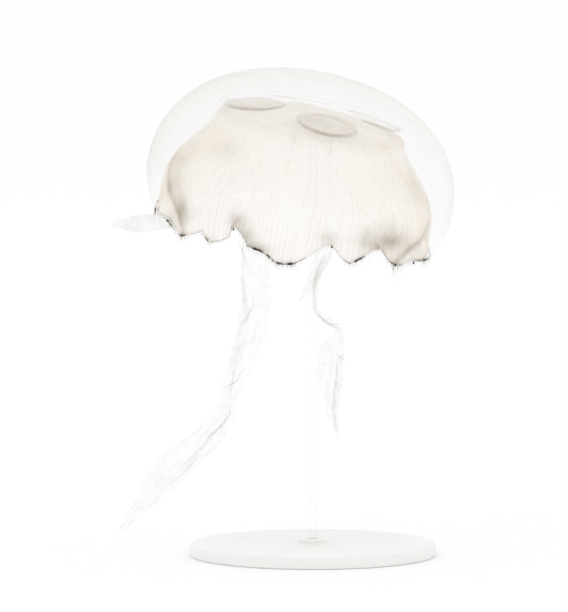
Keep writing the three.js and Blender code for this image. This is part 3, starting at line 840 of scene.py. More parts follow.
def crease_gap(azimuth, height, places):
    """Millimetres to a crease's nearest point."""
    here = Vector((((azimuth - places[0][0] + 180) % 360 - 180) * DEGREE, height))
    line = [Vector(((at - places[0][0]) * DEGREE, tall)) for at, tall in places]
    nearest = 1e9
    for start, end in zip(line, line[1:]):
        run = end - start
        part = clamp((here - start).dot(run) / run.length_squared)
        nearest = min(nearest, (here - start - run * part).length)
    return nearest


def back_share(azimuth):
    """0 round the front of the bell and 1 round its back, where the far wall is drawn fainter."""
    return ease((gap_between(azimuth, 0) - BACK_FROM) / 26)


def sheet_stain_and_fold_shade(azimuth, height):
    """How dark the sheet is, partly denser tissue and partly painted shade in its folds and
    creases: 0 is ivory, 1 is olive.
    """
    dark = sum(strength * mound(azimuth, height, place) for *place, strength in DENSE_AND_SHADED_PATCHES)
    for places, wide, strength in CREASES:
        gap = crease_gap(azimuth, height, places)
        if gap < 4 * wide:
            dark += strength * math.exp(-((gap / wide) ** 2))
    back = back_share(azimuth)
    dark *= mix(1, 0.3, back)
    above = height - margin_height(azimuth)
    edge = 0.16 + 0.34 * bunching(azimuth)
    dark += edge * math.exp(-max(above, 0) / 2) * (1 - back)
    return clamp(dark)


def sheet_haze(azimuth, height, radius):
    """How much one face hides. It is clearer over the stomach, at the shoulder, in the middle of
    a lobe and low on the back."""
    back = back_share(azimuth)
    if radius < STOMACH_RADIUS:
        fuller = 1 + 0.6 * math.exp(-((gap_between(azimuth, 65) / 40) ** 2))
        return STOMACH_HAZE * fuller * mix(1, 0.15, back * ease((radius - 15) / 25))
    shoulder = mix(71, 78, math.exp(-((gap_between(azimuth, -77) / 38) ** 2)))
    haze = mix(STOMACH_HAZE * 0.5, SHEET_HAZE, ease((shoulder - height) / 18))
    haze -= 0.01 * sum(mound(azimuth, height, place) for place in LOBES)
    thin = 0.4 + 0.3 * ease((height - 45) / 25)
    haze *= 1 - thin * math.exp(-((gap_between(azimuth, 0) - BACK_FROM) / 15) ** 2)
    return haze * mix(1, 0.07, back * ease((62 - height) / 56))


def gather(azimuth, height):
    """The sheet's fine radial gathers, deepest at the margin, as a distance inwards."""
    fade = ease((GATHER_TOP - height) / GATHER_TOP)
    wander = 2.2 * noise.noise(around(azimuth, 5, 0.02 * height))
    depth = 0.6 + 0.4 * noise.noise(around(azimuth, 12, 0))
    wave = 1 - math.cos(math.radians(azimuth) * GATHERS + wander * 4)
    return GATHER_DEPTH * fade * depth * wave


def pit_rise(place):
    """How far the stomach's floor domes up inside the gonads."""
    rise = 0
    for k in range(4):
        centre = around(GONAD_AZIMUTH + 90 * k, GONAD_FROM_AXIS, 0)
        distance = math.hypot(place.x - centre.x, place.y - centre.y)
        rise += PIT_DEPTH * math.exp(-((distance / PIT_REACH) ** 2))
    return rise


def offset_line(line, distance):
    """The same line moved to the right of the way it runs."""
    moved = []
    for k, (radius, height) in enumerate(line):
        r0, h0 = line[max(k - 1, 0)]
        r1, h1 = line[min(k + 1, len(line) - 1)]
        length = math.hypot(r1 - r0, h1 - h0)
        r_shift, h_shift = (h1 - h0) / length * distance, -(r1 - r0) / length * distance
        moved.append((0.0 if k == 0 else radius + r_shift, height + h_shift))
    return moved


def on_sheet(azimuth, radius, height):
    """A place of the muscle sheet, folded at the notches and gathered."""
    if height > PLEAT_TOP + 2:
        depth = gather(azimuth, height) * ease((radius - 62) / 8)
        place = around(azimuth, radius - depth, height)
        place.z += pit_rise(place)
        return place
    return draped(azimuth, radius - gather(azimuth, height), height)


def make_muscle_sheet():
    """The stomach's floor and the lining of the bell, as one skin with two faces."""
    upper = profile_line(LINING_LINE, SHEET_ROWS)
    lower = offset_line(upper, SHEET)
    lower.reverse()
    shape = spun(upper + lower, SHEET_STEPS)
    thickness = shape.verts.layers.float.new("thickness")
    stain_and_fold_shade = shape.verts.layers.float.new("stain_and_fold_shade")
    lines = shape.verts.layers.float.new("lines")
    fibre = shape.verts.layers.float_vector.new("fibre")
    for vert in shape.verts:
        radius = radius_of(vert.co)
        azimuth = azimuth_of(vert.co)
        height = vert.co.z
        if radius > 0.5:
            vert.co = on_sheet(azimuth, radius, height)
        vert[thickness] = sheet_haze(azimuth, vert.co.z, radius)
        # The darkness is partly denser tissue and partly painted shade in the folds and creases.
        vert[stain_and_fold_shade] = sheet_stain_and_fold_shade(azimuth, vert.co.z) if radius > 62 else STOMACH_STAIN
        vert[lines] = ease((48 - height) / 38)
        vert[fibre] = around(azimuth, MARGIN_RADIUS, 0.03 * height)
    replaced = ["subumbrella", "stomach_floor"]
    piece("muscle_sheet", shape, muscle_sheet(), replaced)


# ---- Radial canals ----
CANAL_COUNT = 16
CANAL_RADIUS = 0.34
CANAL_RINGS = 22
CANAL_END = 0.985  # fraction of the lining line where the canals stop
LINING = Route([(radius, 0, height) for radius, height in LINING_LINE])
POUCH_EDGE = 0.36  # fraction of the lining line where the canals leave the stomach
# A branching canal's side branches: where on the lining line they start, and how many degrees
# they drift.
BRANCHES = [(0.4, -6.5), (0.41, 7), (0.5, -11.5), (0.49, 11), (0.66, -3)]
INNER_BRANCH = 0.45  # a branch that starts before this leaves from the canal's own root


def canal_places(azimuth, start, drift, sway):
    places = []
    for k in range(CANAL_RINGS + 1):
        part = mix(start, CANAL_END, k / CANAL_RINGS)
        here = LINING.at(part)
        swing = drift * ease(2.2 * k / CANAL_RINGS) + 0.5 * math.sin(sway + 7 * part)
        places.append(on_sheet(azimuth + swing, here.x - 0.1, here.z))
    return places


def make_canals():
    """Sixteen canals from the stomach to the margin, every second one branching."""
    draw = random.Random(11)
    blank = tube_blank(5, CANAL_RINGS)
    shape = bmesh.new()
    thickness = shape.verts.layers.float.new("thickness")
    radii = [CANAL_RADIUS * mix(1.1, 0.6, n / CANAL_RINGS) for n in range(CANAL_RINGS + 1)]
    for k in range(CANAL_COUNT):
        azimuth = GONAD_AZIMUTH + 360 / CANAL_COUNT * k
        for start, drift in [(POUCH_EDGE, 0)] + (BRANCHES if k % 2 == 0 else []):
            inner = start < INNER_BRANCH
            entry = azimuth if inner else azimuth + drift * 0.55
            swing = drift if inner else drift * 0.45
            places = canal_places(entry, start, swing, draw.uniform(0, TURN))
            add_tube(shape, blank, places, radii)
    for vert in shape.verts:
        fore = mix(1, 0.15, back_share(azimuth_of(vert.co)))
        vert[thickness] = fore * mix(0.5, 1, ease((80 - vert.co.z) / 20))
    piece("radial_canals", shape, canal_thread())


# ---- Margin cord, tentacles and sense organs ----
CORD_STEPS = 1200
CORD_SIDES = 8
CORD_RING = 90  # the radius at which the cord is spun, before it is laid along the edge
# Stretches where roots bunch into a thick dark line: azimuth, width in degrees, strength.
BUNCHES = [
    (-14, 5, 0.8), (-7, 3, 0.9), (-3, 4, 1.0), (2, 3, 0.7), (-54, 2.5, 0.9), (-37, 3, 0.6),
    (-64, 3, 0.9), (-86, 5, 0.9), (26, 3, 0.5), (29, 2, 0.8), (48.5, 3, 0.9), (72, 6, 0.9),
    (119, 6, 0.5), (130, 5, 0.7), (176, 8, 0.7), (221, 6, 0.7), (256, 5, 0.5),
]
LONG_FRINGES = [(45, 7, 12), (39, 5, 8), (176, 20, 5), (-50, 6, 3)]  # azimuth, width, extra length


def bunching(azimuth):
    total = sum(s * math.exp(-((gap_between(azimuth, at) / wide) ** 2)) for at, wide, s in BUNCHES)
    return min(total, 1.0)


def edge_place(azimuth, out=0.0, down=0.0):
    """A place on the scalloped edge, moved out from it and straight down."""
    return draped(azimuth, MARGIN_RADIUS - SKIRT_WALL * 0.7 + out, 0) + HANGING * down


def make_margin_cord():
    """The thickened edge: thin between the bunches of roots, and beaded where they crowd."""
    angles = [TURN * k / CORD_SIDES for k in range(CORD_SIDES)]
    ring = [(CORD_RING + math.cos(angle), math.sin(angle)) for angle in angles]
    shape = spun(ring, CORD_STEPS, closed=True)
    dark = shape.verts.layers.float.new("dark")
    for vert in shape.verts:
        azimuth = azimuth_of(vert.co)
        bunch = bunching(azimuth)
        coarse, fine = noise.noise(around(azimuth, 26, 0)), noise.noise(around(azimuth, 90, 5))
        beads = clamp(0.5 + 1.3 * coarse + 0.7 * fine)
        thick = 0.18 + 0.1 * beads + (0.1 + 0.9 * beads) * bunch * 0.62
        out = (radius_of(vert.co) - CORD_RING) * thick
        depth = clamp(0.28 + 0.7 * bunch * (0.3 + 0.7 * beads) + 0.2 * (beads - 0.5))
        vert[dark] = depth * (1 - back_share(azimuth))
        vert.co = edge_place(azimuth, out, -vert.co.z * thick)
    piece("margin_cord", shape, margin_flesh())


TENTACLE_COUNT = 760
ROOT_CROWD = 260  # more of them where the roots bunch
TENTACLE_RINGS = 6


def tentacle_places(draw, azimuth, length):
    """One tentacle's line: it hangs from the edge, a little splayed and curled."""
    root = edge_place(azimuth, draw.uniform(-0.3, 0.3), 0.2)
    outwards = around(azimuth + draw.uniform(-35, 35), 1, 0)
    sideways = around(azimuth + 90, 1, 0)
    splay, sway = draw.uniform(-0.1, 0.35), draw.uniform(-0.25, 0.25)
    curl, turn = draw.uniform(0.03, 0.12) * length, draw.uniform(0, TURN)
    places = []
    for k in range(TENTACLE_RINGS + 1):
        part = k / TENTACLE_RINGS
        bend = curl * part * math.sin(turn + 3.2 * part)
        drop = HANGING * length * part
        out = outwards * (splay * length * part ** 0.8)
        places.append(root + drop + out + sideways * (sway * length * part + bend))
    return places


def make_tentacles():
    """The fringe: tentacles evenly round the edge, and more where the roots bunch."""
    draw = random.Random(3)
    blank = tube_blank(4, TENTACLE_RINGS, patched=True)
    shape = bmesh.new()
    shape.loops.layers.uv.new("OFBake")
    tip = shape.verts.layers.float.new("tip")
    dark = shape.verts.layers.float.new("dark")
    roots = [360 * k / TENTACLE_COUNT + draw.uniform(-0.4, 0.4) for k in range(TENTACLE_COUNT)]
    for k in range(ROOT_CROWD):
        at, wide, _ = BUNCHES[k % len(BUNCHES)]
        roots.append(draw.gauss(at, 1.1 * wide))
    for azimuth in roots:
        bunch = bunching(azimuth)
        length = draw.uniform(1.6, 6.4) * mix(0.9, 1.1, bunch)
        for at, wide, extra in LONG_FRINGES:
            length += draw.random() * extra * math.exp(-((gap_between(azimuth, at) / wide) ** 2))
        thick = draw.uniform(0.07, 0.12) * mix(0.9, 1.2, bunch)
        radii = [thick * mix(1, 0.25, n / TENTACLE_RINGS) for n in range(TENTACLE_RINGS + 1)]
        spread = around(azimuth, 0.46, 0)  # the patches stand in a ring on the map
        root = (0.5 + spread.x, 0.5 + spread.y)
        add_tube(shape, blank, tentacle_places(draw, azimuth, length), radii, root, tip)
    for vert in shape.verts:
        azimuth = azimuth_of(vert.co)
        vert[dark] = mix(0.22, 0.5, bunching(azimuth)) * mix(1, 0.06, back_share(azimuth))
    piece("marginal_tentacles", shape, tentacle_flesh())


RHOPALIUM_RADIUS = 1.2
RHOPALIUM_DROP = 2.1


def make_sense_organs():
    """A small hanging club at each of the eight notches."""
    shape = bmesh.new()
    dark = shape.verts.layers.float.new("dark")
    for azimuth in RHOPALIA:
        centre = edge_place(azimuth, -0.2, RHOPALIUM_DROP * 0.6)
        place = Matrix.Translation(centre) @ HANGING.to_track_quat("Z", "X").to_matrix().to_4x4()
        radius = 0.5 * RHOPALIUM_RADIUS
        ball = bmesh.ops.create_icosphere(shape, subdivisions=3, radius=radius)["verts"]
        for vert in ball:
            vert.co.z *= 1.7
            vert.co.x *= 1 + 0.25 * vert.co.z
            vert.co.y *= 1 + 0.25 * vert.co.z
            vert[dark] = mix(1, 0.05, back_share(azimuth))
        bmesh.ops.transform(shape, matrix=place, verts=ball)
    replaced = [f"rhopalium_{k}" for k in range(1, 9)]
    piece("sense_organs", shape, sense_organ_pigment(), replaced)


# ---- Gonads ----
GONAD_RINGS = 120
GONAD_FRILLS = 34
FILAMENTS = 64
FILAMENT_RINGS = 4
# How strongly the front, right, back and left gonads show.
GONAD_STRENGTHS = (0.95, 0.6, 0.2, 0.95)
RIBBON_HAZE = 0.29
FILAMENT_HAZE = 0.14
POUCH_ROWS = 12


def gonad_axes(azimuth):
    slope = math.radians(GONAD_SLOPE)
    centre = around(azimuth, GONAD_FROM_AXIS, GONAD_HEIGHT)
    outwards = around(azimuth, math.cos(slope), -math.sin(slope))
    sideways = around(azimuth + 90, 1, 0)
    return centre, outwards, sideways


def horseshoe(azimuth, angle, radius, lift=0.0):
    """A place on a gonad's ring, angle degrees round from its outermost point."""
    centre, outwards, sideways = gonad_axes(azimuth)
    turn = math.radians(angle)
    upwards = outwards.cross(sideways)
    if upwards.z < 0:
        upwards = -upwards
    place = centre + outwards * (radius * math.cos(turn)) + sideways * (radius * math.sin(turn))
    return place + upwards * lift


def make_gonad(number, blank, thread, material):
    """A folded ribbon round the pouch, and the fine filaments that line its inner side."""
    azimuth = GONAD_AZIMUTH + 90 * number
    draw = random.Random(40 + number)
    shape = bmesh.new()
    thickness = shape.verts.layers.float.new("thickness")
    places, radii = [], []
    for k in range(GONAD_RINGS + 1):
        part = k / GONAD_RINGS
        angle = mix(*GONAD_ENDS, part)
        wander = 2 * noise.noise(Vector((9 * part, number, 0)))
        frill = math.sin(TURN * GONAD_FRILLS * part + wander)
        lift = 0.15 * math.cos(TURN * 23 * part)
        places.append(horseshoe(azimuth, angle, GONAD_RADIUS + 0.16 * frill, lift))
        body = math.sin(math.pi * clamp(part, 0.02, 0.98)) ** 0.3
        radii.append(GONAD_CORD * body * (0.95 + 0.04 * frill))
    add_tube(shape, blank, places, radii)
    taper = [0.16 * mix(1, 0.4, n / FILAMENT_RINGS) for n in range(FILAMENT_RINGS + 1)]
    for k in range(FILAMENTS):
        angle = mix(*GONAD_ENDS, (k + 0.5) / FILAMENTS) + draw.uniform(-1.5, 1.5)
        reach, lift = draw.uniform(2.0, 4.2), draw.uniform(-0.4, 0.6)
        line = []
        for n in range(FILAMENT_RINGS + 1):
            part = n / FILAMENT_RINGS
            sway = draw.uniform(-2, 2) * part
            radius = GONAD_RADIUS - 0.8 - reach * part
            line.append(horseshoe(azimuth, angle + sway, radius, lift * part))
        add_tube(shape, thread, line, taper)
    for vert in shape.verts:
        local = vert.co - gonad_axes(azimuth)[0]
        fore = mix(0.08, 1, ease(1.0 - 1.2 * local.y / GONAD_RADIUS))
        filament = local.length < GONAD_RADIUS - 1.9
        haze = FILAMENT_HAZE if filament else RIBBON_HAZE
        vert[thickness] = GONAD_STRENGTHS[number] * fore * haze
    piece(f"gonad_ribbon_{number + 1}", shape, material, [f"gonad_{number + 1}"])


def make_pouch(number, material):
    """The lens of thin skin that a gonad rings."""
    azimuth = GONAD_AZIMUTH + 90 * number
    reach = GONAD_RADIUS - 0.6
    rows = [k / POUCH_ROWS for k in range(POUCH_ROWS + 1)]
    top, bottom = ([(reach * part, rise * (1 - part ** 2)) for part in rows] for rise in (0.9, 0.5))
    shape = spun(top + bottom[-2::-1], 64)
    centre, outwards, sideways = gonad_axes(azimuth)
    upwards = outwards.cross(sideways).normalized()
    turn = Matrix((outwards, sideways, upwards)).transposed().to_4x4()
    bmesh.ops.transform(shape, matrix=Matrix.Translation(centre) @ turn, verts=shape.verts)
    thickness = shape.verts.layers.float.new("thickness")
    for vert in shape.verts:
        local = (vert.co - centre) / GONAD_RADIUS
        folded = math.exp(-(((local.length - 0.78) / 0.16) ** 2)) * ease(0.3 + local.y)
        film = 1 - ease((local.length - 0.7) / 0.3)
        vert[thickness] = (0.08 * film + 0.15 * folded) * mix(0.2, 1, GONAD_STRENGTHS[number])
    piece(f"gonad_pouch_{number + 1}", shape, material)


# ---- Mouth stalk ----
STALK_ROWS = 26
STALK_HAZE = 0.01


def make_mouth(material):
    """A four-cornered stalk, open along its middle, whose lips flare into the arms."""
    outside, inside, corners = ([(line[0], line[k]) for line in STALK_LINE] for k in (1, 2, 3))
    rows = [k / STALK_ROWS for k in range(STALK_ROWS + 1)]
    outer = [(along(outside, part), mix(STALK_TOP, STALK_BOTTOM, part)) for part in rows]
    inner = [(along(inside, part), mix(STALK_TOP, STALK_BOTTOM, part)) for part in rows]
    shape = spun(outer + inner[::-1], 144, closed=True)
    thickness = shape.verts.layers.float.new("thickness")
    for vert in shape.verts:
        azimuth = azimuth_of(vert.co)
        radius = radius_of(vert.co)
        part = (STALK_TOP - vert.co.z) / (STALK_TOP - STALK_BOTTOM)
        corner = (0.5 + 0.5 * math.cos(math.radians(4 * (azimuth - MOUTH_AZIMUTH)))) ** 1.5
        follows = 1 if radius > along(inside, part) + 0.3 else 0.6
        swell = along(corners, part) * corner * follows
        frill = 0.5 * part ** 2 * math.sin(math.radians(azimuth * 28))
        vert.co = around(azimuth, radius + swell + frill, vert.co.z)
        vert[thickness] = STALK_HAZE
    piece("mouth_stalk", shape, material, ["manubrium"])


# ---- Oral arms ----
ARM_SIDES = 52
ARM_RING_STEP = 1.1
# What each part of an arm hides, seen square on.
RIB_HAZE = 0.032
STRAND_HAZE = 0.06
VEIL_HAZE = 0.036
HEM_HAZE = 0.008
CIRRUS_HAZE = 0.03
CIRRUS_PITCH = 1.6
CIRRUS_RINGS = 4
NOTCH_PITCH = 3.1  # how far apart a veil's edge is nicked


class ArmShape:
    """An arm's middle line with its veils' directions and widths along it."""

    def __init__(self, arm, seed):
        corner = MOUTH_AZIMUTH + 90 * arm["corner"]
        root = BELL_FRAME @ around(corner, ARM_ROOT_RADIUS, ARM_ROOT_HEIGHT)
        self.arm, self.seed = arm, seed
        self.route = Route([root, *arm["route"]])

    @functools.lru_cache(None)
    def axes(self, part):
        forward = self.route.heading(part)
        side = FRONT.cross(forward).normalized()
        side.rotate(Matrix.Rotation(math.radians(along(self.arm["turn"], part)), 3, forward))
        return side, forward.cross(side)

    def reach(self, part, u):
        return along(self.arm["left_veil" if u < 0 else "right_veil"], part)

    def place(self, part, u, thickness):
        """u runs from one hem at -1 over the rib at 0 to the other at 1, thickness from -1 to 1."""
        side, normal = self.axes(part)
        reach = self.reach(part, u)
        run = part * self.route.length
        phase = TURN * run / FRILL_PITCH + (0 if u < 0 else 2)
        frill = FRILL_HEIGHT * min(1, reach / 8) * abs(u) ** 1.5 * math.sin(phase)
        frill *= self.arm.get("frilled", 1)
        wander = noise.noise(Vector((run * 0.09, self.seed, 2 * u)))
        ruffle = math.sin(TURN * run / RUFFLE_PITCH + 5 * wander + (0 if u < 0 else 1))
        frill += 0.75 * min(1, reach / 5) * abs(u) ** 3 * (0.6 + wander) * ruffle
        rib = along(self.arm["rib"], part) * 0.5
        half = mix(HEM, rib, (1 - abs(u)) ** 3) / 2
        notch = 1 - 0.07 * abs(u) ** 4 * (1 + math.sin(TURN * run / NOTCH_PITCH + 7 * wander))
        out, up = side * (u * reach * notch), normal * (frill + half * thickness)
        return self.route.at(part) + out + up


def in_the_open(place):
    """0 for a place up inside the bell, where the milky walls hide it, and 1 outside it."""
    local = BELL_FRAME.inverted() @ place
    return max(0.03, ease((6 - local.z) / 13), ease((radius_of(local) - 84) / 8))


def make_arm(name, arm, material, seed):
    """One arm: its rib and its two veils are a single closed skin."""
    made = ArmShape(arm, seed)
    rings = round(made.route.length / ARM_RING_STEP)
    shape = bmesh.new()
    shape.from_mesh(tube_blank(ARM_SIDES, rings))
    thickness = shape.verts.layers.float.new("thickness")
    streaky = arm.get("streaky", 1)
    for vert in shape.verts:
        part, u, side = vert.co.z + 0.5, vert.co.x, vert.co.y
        reach = made.reach(part, u)
        across, run = u * reach, part * made.route.length
        rib = math.exp(-((across / mix(2.6, 1.2, part)) ** 2)) * along(arm["rib_shows"], part)
        hem = math.exp(-(((1 - abs(u)) * reach / 0.5) ** 2)) * min(1, reach / 3)
        streak = noise.noise(Vector((across * 0.7, run * 0.05, seed)))
        fine = noise.noise(Vector((across * 1.9, run * 0.11, seed + 3)))
        strand = ease((streak + 0.4 * fine - 0.02) / 0.4) * streaky
        strand *= mix(0.3, 1, math.exp(-((across / 4) ** 2)))
        haze = arm["milky"] * VEIL_HAZE * (1 + 0.8 * streak * streaky)
        haze += RIB_HAZE * rib + HEM_HAZE * hem + STRAND_HAZE * strand * mix(0.4, 1, rib)
        place = made.place(part, math.copysign(abs(u) ** 1.15, u), side)
        vert[thickness] = haze * in_the_open(place)
        vert.co = place
    bmesh.ops.recalc_face_normals(shape, faces=shape.faces)
    replaced = [f"oral_arm_{name}_{k + 1}" for k in range(arm["lengths"])]
    piece(f"oral_arm_{name}", shape, material, replaced, bell=False)
    make_fringe(name, made, material, seed)


def make_fringe(name, made, material, seed):
    """The small tentacles that edge both veils of an arm."""
    draw = random.Random(seed)
    blank = tube_blank(3, CIRRUS_RINGS, patched=True)
    shape = bmesh.new()
    shape.loops.layers.uv.new("OFBake")
    thickness = shape.verts.layers.float.new("thickness")
    radii = [0.13 * mix(1, 0.35, n / CIRRUS_RINGS) for n in range(CIRRUS_RINGS + 1)]
    count = round(made.route.length / CIRRUS_PITCH)
    for edge in (-1, 1):
        for k in range(count):
            part = mix(0.06, 0.995, (k + draw.random()) / count)
            root = made.place(part, edge, 0)
            side, normal = made.axes(part)
            length = draw.uniform(0.8, 2.6) * min(1, 0.4 + made.reach(part, edge) / 10)
            heading = made.route.heading(part)
            aim = side * edge + heading * draw.uniform(0.2, 1.4) + normal * draw.uniform(-0.5, 0.5)
            aim.normalize()
            curl = normal * draw.uniform(-0.5, 0.5) + heading * draw.uniform(0, 0.7)
            line = [
                root + (aim + curl * (n / CIRRUS_RINGS)) * (length * n / CIRRUS_RINGS)
                for n in range(CIRRUS_RINGS + 1)
            ]
            add_tube(shape, blank, line, radii, (0.05 + 0.9 * part, 0.3 + 0.2 * edge))
    for vert in shape.verts:
        vert[thickness] = CIRRUS_HAZE * in_the_open(vert.co)
    piece(f"oral_fringe_{name}", shape, material, bell=False)


# ---- Dense strands of the arms ----
# Half width, strength, and the places passed.
STRANDS = [
    # Along the left arm.
    (0.75, 0.19, [
        (-49.7, -26, 209.8), (-46.8, -28.5, 204.1), (-44.5, -30.5, 197.1),
        (-44.9, -32, 189.4),
    ]),
    (0.83, 0.21, [
        (-38.5, -35, 169.1), (-41, -35, 162.9), (-42.9, -34.5, 157.7),
        (-45.5, -33.5, 151.7),
    ]),
    (1.05, 0.1, [
        (-43.6, -34.5, 175.3), (-42.6, -35, 166.8), (-44.2, -35, 158.4),
        (-47.5, -33, 149.7), (-49.1, -32, 140.5),
    ]),
    (0.75, 0.21, [
        (-42.9, -30, 126.6), (-46.8, -29, 121.9), (-50.1, -28, 116.6),
        (-55.9, -27.5, 113.3), (-58.8, -27, 110),
    ]),
    (1.2, 0.12, [
        (-50.4, -29.5, 126), (-51.4, -29, 120.5), (-52.6, -27.5, 114.6), (-54.3, -26.5, 106.7),
    ]),
    (0.98, 0.22, [
        (-53.6, -26, 102.8), (-54.6, -25, 94.2), (-59.8, -24, 86.9),
        (-65.7, -22.5, 81.6), (-71.5, -21, 75.6),
    ]),
    (1.2, 0.11, [
        (-55.2, -24, 92.1), (-63.1, -22, 83.5), (-70.2, -20, 74.8),
        (-79.3, -18.5, 65.6), (-88.4, -17.5, 57.6),
    ]),
    (1.2, 0.09, [
        (-71.5, -20, 74.2), (-78, -18, 62.3), (-85.8, -17, 54.3),
        (-94.2, -16, 48.4), (-100.8, -15, 41.8),
    ]),
    # Along the right arm.
    (0.9, 0.15, [
        (13, -18, 200.6), (8.5, -21, 193.7), (4.2, -25, 185.5), (0.7, -29, 176.8),
        (0, -30.5, 168.4), (2, -29.5, 161.1),
    ]),
    (0.75, 0.14, [
        (10.4, -18.5, 199.3), (5.5, -22, 191.1), (2, -26, 184.3), (-0.7, -29, 177.4),
        (-4.5, -30, 172.3), (-7.5, -30, 169.7),
    ]),
    (0.68, 0.12, [
        (8.5, -20, 196.8), (3.2, -24, 190), (0.7, -27.5, 183.1),
        (-3.2, -29, 179.4), (-4.5, -30, 175.5),
    ]),
    (0.9, 0.22, [
        (1, -30, 163.8), (4.5, -28.5, 158.4), (9.8, -26.5, 154.7),
        (15, -25.5, 153.3), (19.5, -25, 153.4),
    ]),
    (0.75, 0.12, [(2, -30, 162.5), (7.2, -28, 155.1), (13.7, -26, 151.7), (19.5, -25, 150.6)]),
    (0.75, 0.12, [(8.5, -27.5, 156.4), (11.7, -26.5, 157.9), (14.3, -26, 158.2)]),
    (0.9, 0.19, [
        (14.8, -23.5, 137.8), (15.5, -23, 128.6), (15.1, -22.5, 118.8), (14, -22, 108.9),
        (13.5, -22, 97.8), (14.3, -21, 88), (16.2, -20, 80),
    ]),
    (0.68, 0.17, [(14.8, -23.5, 134.5), (17.6, -23, 131.9), (21, -22.5, 128.9)]),
]
STRAND_RINGS = 26


def make_strands(material):
    """Soft dense strands that run in the arms' veils and part from them here and there."""
    blank = tube_blank(8, STRAND_RINGS)
    shape = bmesh.new()
    thickness = shape.verts.layers.float.new("thickness")
    for number, (wide, strength, line) in enumerate(STRANDS):
        route = Route(line)
        places, radii = [], []
        for k in range(STRAND_RINGS + 1):
            part = k / STRAND_RINGS
            place = route.at(part)
            drift = [noise.noise(Vector((0.16 * place.z, number, 7 * axis))) for axis in range(3)]
            places.append(place + 0.8 * Vector(drift))
            body = math.sin(math.pi * clamp(part, 0.03, 0.97)) ** 0.6
            radii.append(wide * body * (1 + 0.7 * noise.noise(Vector((0.3 * place.z, number, 40)))))
        first = len(shape.verts)
        add_tube(shape, blank, places, radii, None, thickness)
        shape.verts.ensure_lookup_table()
        for n in range(first, len(shape.verts)):
            vert = shape.verts[n]
            body = math.sin(math.pi * clamp(vert[thickness], 0.02, 0.98)) ** 0.7
            vert[thickness] = 0.7 * strength * body
    piece("oral_arm_strands", shape, material, bell=False)


# ---- Stand ----
BEVEL_STEPS = 6
HUB_FILLET = 0.4
CHAMFER = 0.3  # the broken edges of the rod and the pad
ROD_TOP_ROOM = 2  # the rod's top is made this far down, then cut to the slope of the pad


def rounded_corner(radius, height):
    """The rounded outer corner at the top of a turned disc."""
    corner = []
    for k in range(BEVEL_STEPS + 1):
        angle = math.pi / 2 * k / BEVEL_STEPS
        inwards, downwards = 1 - math.sin(angle), 1 - math.cos(angle)
        corner.append((radius - BASE_BEVEL * inwards, height - BASE_BEVEL * downwards))
    return corner


def make_stand():
    corner = rounded_corner(BASE_RADIUS, BASE_HEIGHT)
    foot = [(radius, BASE_HEIGHT - height) for radius, height in reversed(corner)]
    socket = ROD_RADIUS + GAP / 2
    base = spun([
        (0, SOCKET_FLOOR), (socket, SOCKET_FLOOR), (socket, HUB_HEIGHT),
        *rounded_corner(HUB_RADIUS, HUB_HEIGHT),
        (HUB_RADIUS, BASE_HEIGHT + HUB_FILLET), (HUB_RADIUS + HUB_FILLET, BASE_HEIGHT),
        *corner, *foot, (0, 0),
    ], 180)
    piece("stand_base_turned", base, white_acrylic(), ["stand_base"], bell=False)

    clear = clear_acrylic()
    foot_level = SOCKET_FLOOR + GAP
    top = PAD_LEVEL - ROD_TOP_ROOM
    rod = spun([
        (0, foot_level), (ROD_RADIUS - CHAMFER, foot_level), (ROD_RADIUS, foot_level + CHAMFER),
        (ROD_RADIUS, top), (0, top),
    ], 48)
    for vert in rod.verts:
        if vert.co.z > foot_level + 1:
            across = AXIS.x * vert.co.x + AXIS.y * vert.co.y
            vert.co.z = PAD_LEVEL - GAP - across / AXIS.z
    piece("stand_rod_polished", rod, clear, ["stand_rod"], bell=False)

    pad = spun([
        (0, PAD_HEIGHT), (PAD_RADIUS - CHAMFER, PAD_HEIGHT), (PAD_RADIUS, PAD_HEIGHT + CHAMFER),
        (PAD_RADIUS, STALK_TOP - CHAMFER), (PAD_RADIUS - CHAMFER, STALK_TOP), (0, STALK_TOP),
    ], 64)
    piece("stand_pad_polished", pad, clear, ["stand_pad"])


# ---- Surroundings ----
FRAME_HEIGHT = 398  # what the frame's height takes in, at the animal
CAMERA_DISTANCE = 5000
CAMERA_ELEVATION = 5
CAMERA_TARGET = (-18.85, 0, 163.1)
SENSOR = 36
WORLD_STRENGTH = 1.02
FLOOR_RADIUS = 14  # metres
# Softboxes: name, place and width in metres, power in watts.
SOFTBOXES = [
    ("key_softbox", (-0.9, -1.2, 1.9), 1.5, 1.2),
    ("left_rim_softbox", (-1.1, 2.3, 1.5), 1.6, 0.5),
    ("right_rim_softbox", (0.4, 2.6, 1.6), 1.6, 0.4),
]
SOFTBOX_TARGET = (0, 0, 0.24)


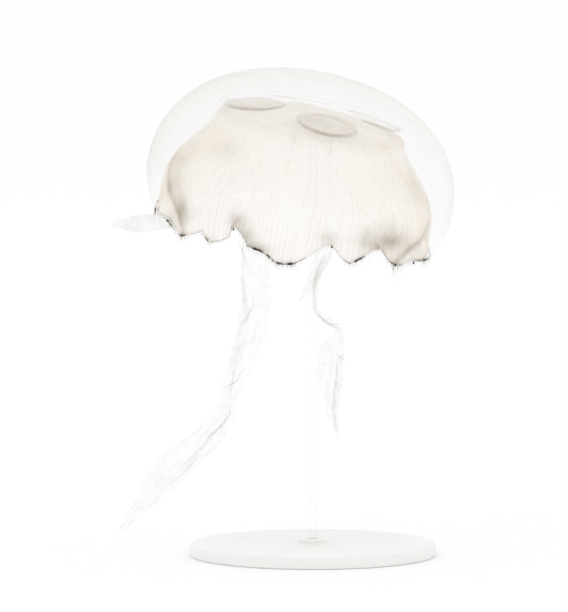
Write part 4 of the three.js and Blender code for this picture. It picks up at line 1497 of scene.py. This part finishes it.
def make_camera():
    lens = bpy.data.cameras.new("camera")
    lens.sensor_width = SENSOR
    lens.lens = SENSOR * CAMERA_DISTANCE / FRAME_HEIGHT
    lens.clip_end = 100
    camera = bpy.data.objects.new("camera", lens)
    elevation = math.radians(CAMERA_ELEVATION)
    back = Vector((0, -math.cos(elevation), math.sin(elevation)))
    camera.location = (Vector(CAMERA_TARGET) + back * CAMERA_DISTANCE) * MM
    camera.rotation_mode = "QUATERNION"
    camera.rotation_quaternion = (-back).to_track_quat("-Z", "Y")
    bpy.context.scene.collection.objects.link(camera)
    bpy.context.scene.camera = camera


def add_softbox(name, place, width, power):
    lamp = bpy.data.lights.new(name, "AREA")
    lamp.size = width
    lamp.energy = power
    box = bpy.data.objects.new(name, lamp)
    box.location = place
    aim = Vector(SOFTBOX_TARGET) - Vector(place)
    box.rotation_euler = aim.to_track_quat("-Z", "Y").to_euler()
    bpy.context.scene.collection.objects.link(box)


def make_studio():
    world = bpy.data.worlds.new("white_cyclorama")
    world.use_nodes = True
    background = world.node_tree.nodes["Background"]
    background.inputs["Color"].default_value = (1, 1, 1, 1)
    background.inputs["Strength"].default_value = WORLD_STRENGTH
    bpy.context.scene.world = world
    for softbox in SOFTBOXES:
        add_softbox(*softbox)
    shape = bmesh.new()
    bmesh.ops.create_circle(shape, cap_ends=True, segments=96, radius=FLOOR_RADIUS)
    mesh = bpy.data.meshes.new("floor")
    shape.to_mesh(mesh)
    shape.free()
    mesh.materials.append(floor_paper())
    floor = bpy.data.objects.new("floor", mesh)
    bpy.context.scene.collection.objects.link(floor)


def main():
    scene = bpy.context.scene
    scene.view_settings.view_transform = "Standard"
    scene.cycles.transparent_max_bounces = 48
    make_camera()
    make_studio()
    make_bell()
    make_muscle_sheet()
    make_canals()
    make_margin_cord()
    make_tentacles()
    make_sense_organs()
    ribbon, thread = tube_blank(12, GONAD_RINGS), tube_blank(3, FILAMENT_RINGS)
    tissue, film = gonad_tissue(), pouch_film()
    for number in range(4):
        make_gonad(number, ribbon, thread, tissue)
        make_pouch(number, film)
    veil = arm_veil()
    make_mouth(veil)
    for seed, (name, arm) in enumerate(ARMS.items()):
        make_arm(name, arm, veil, seed + 5)
    make_strands(arm_strand())
    make_stand()


main()
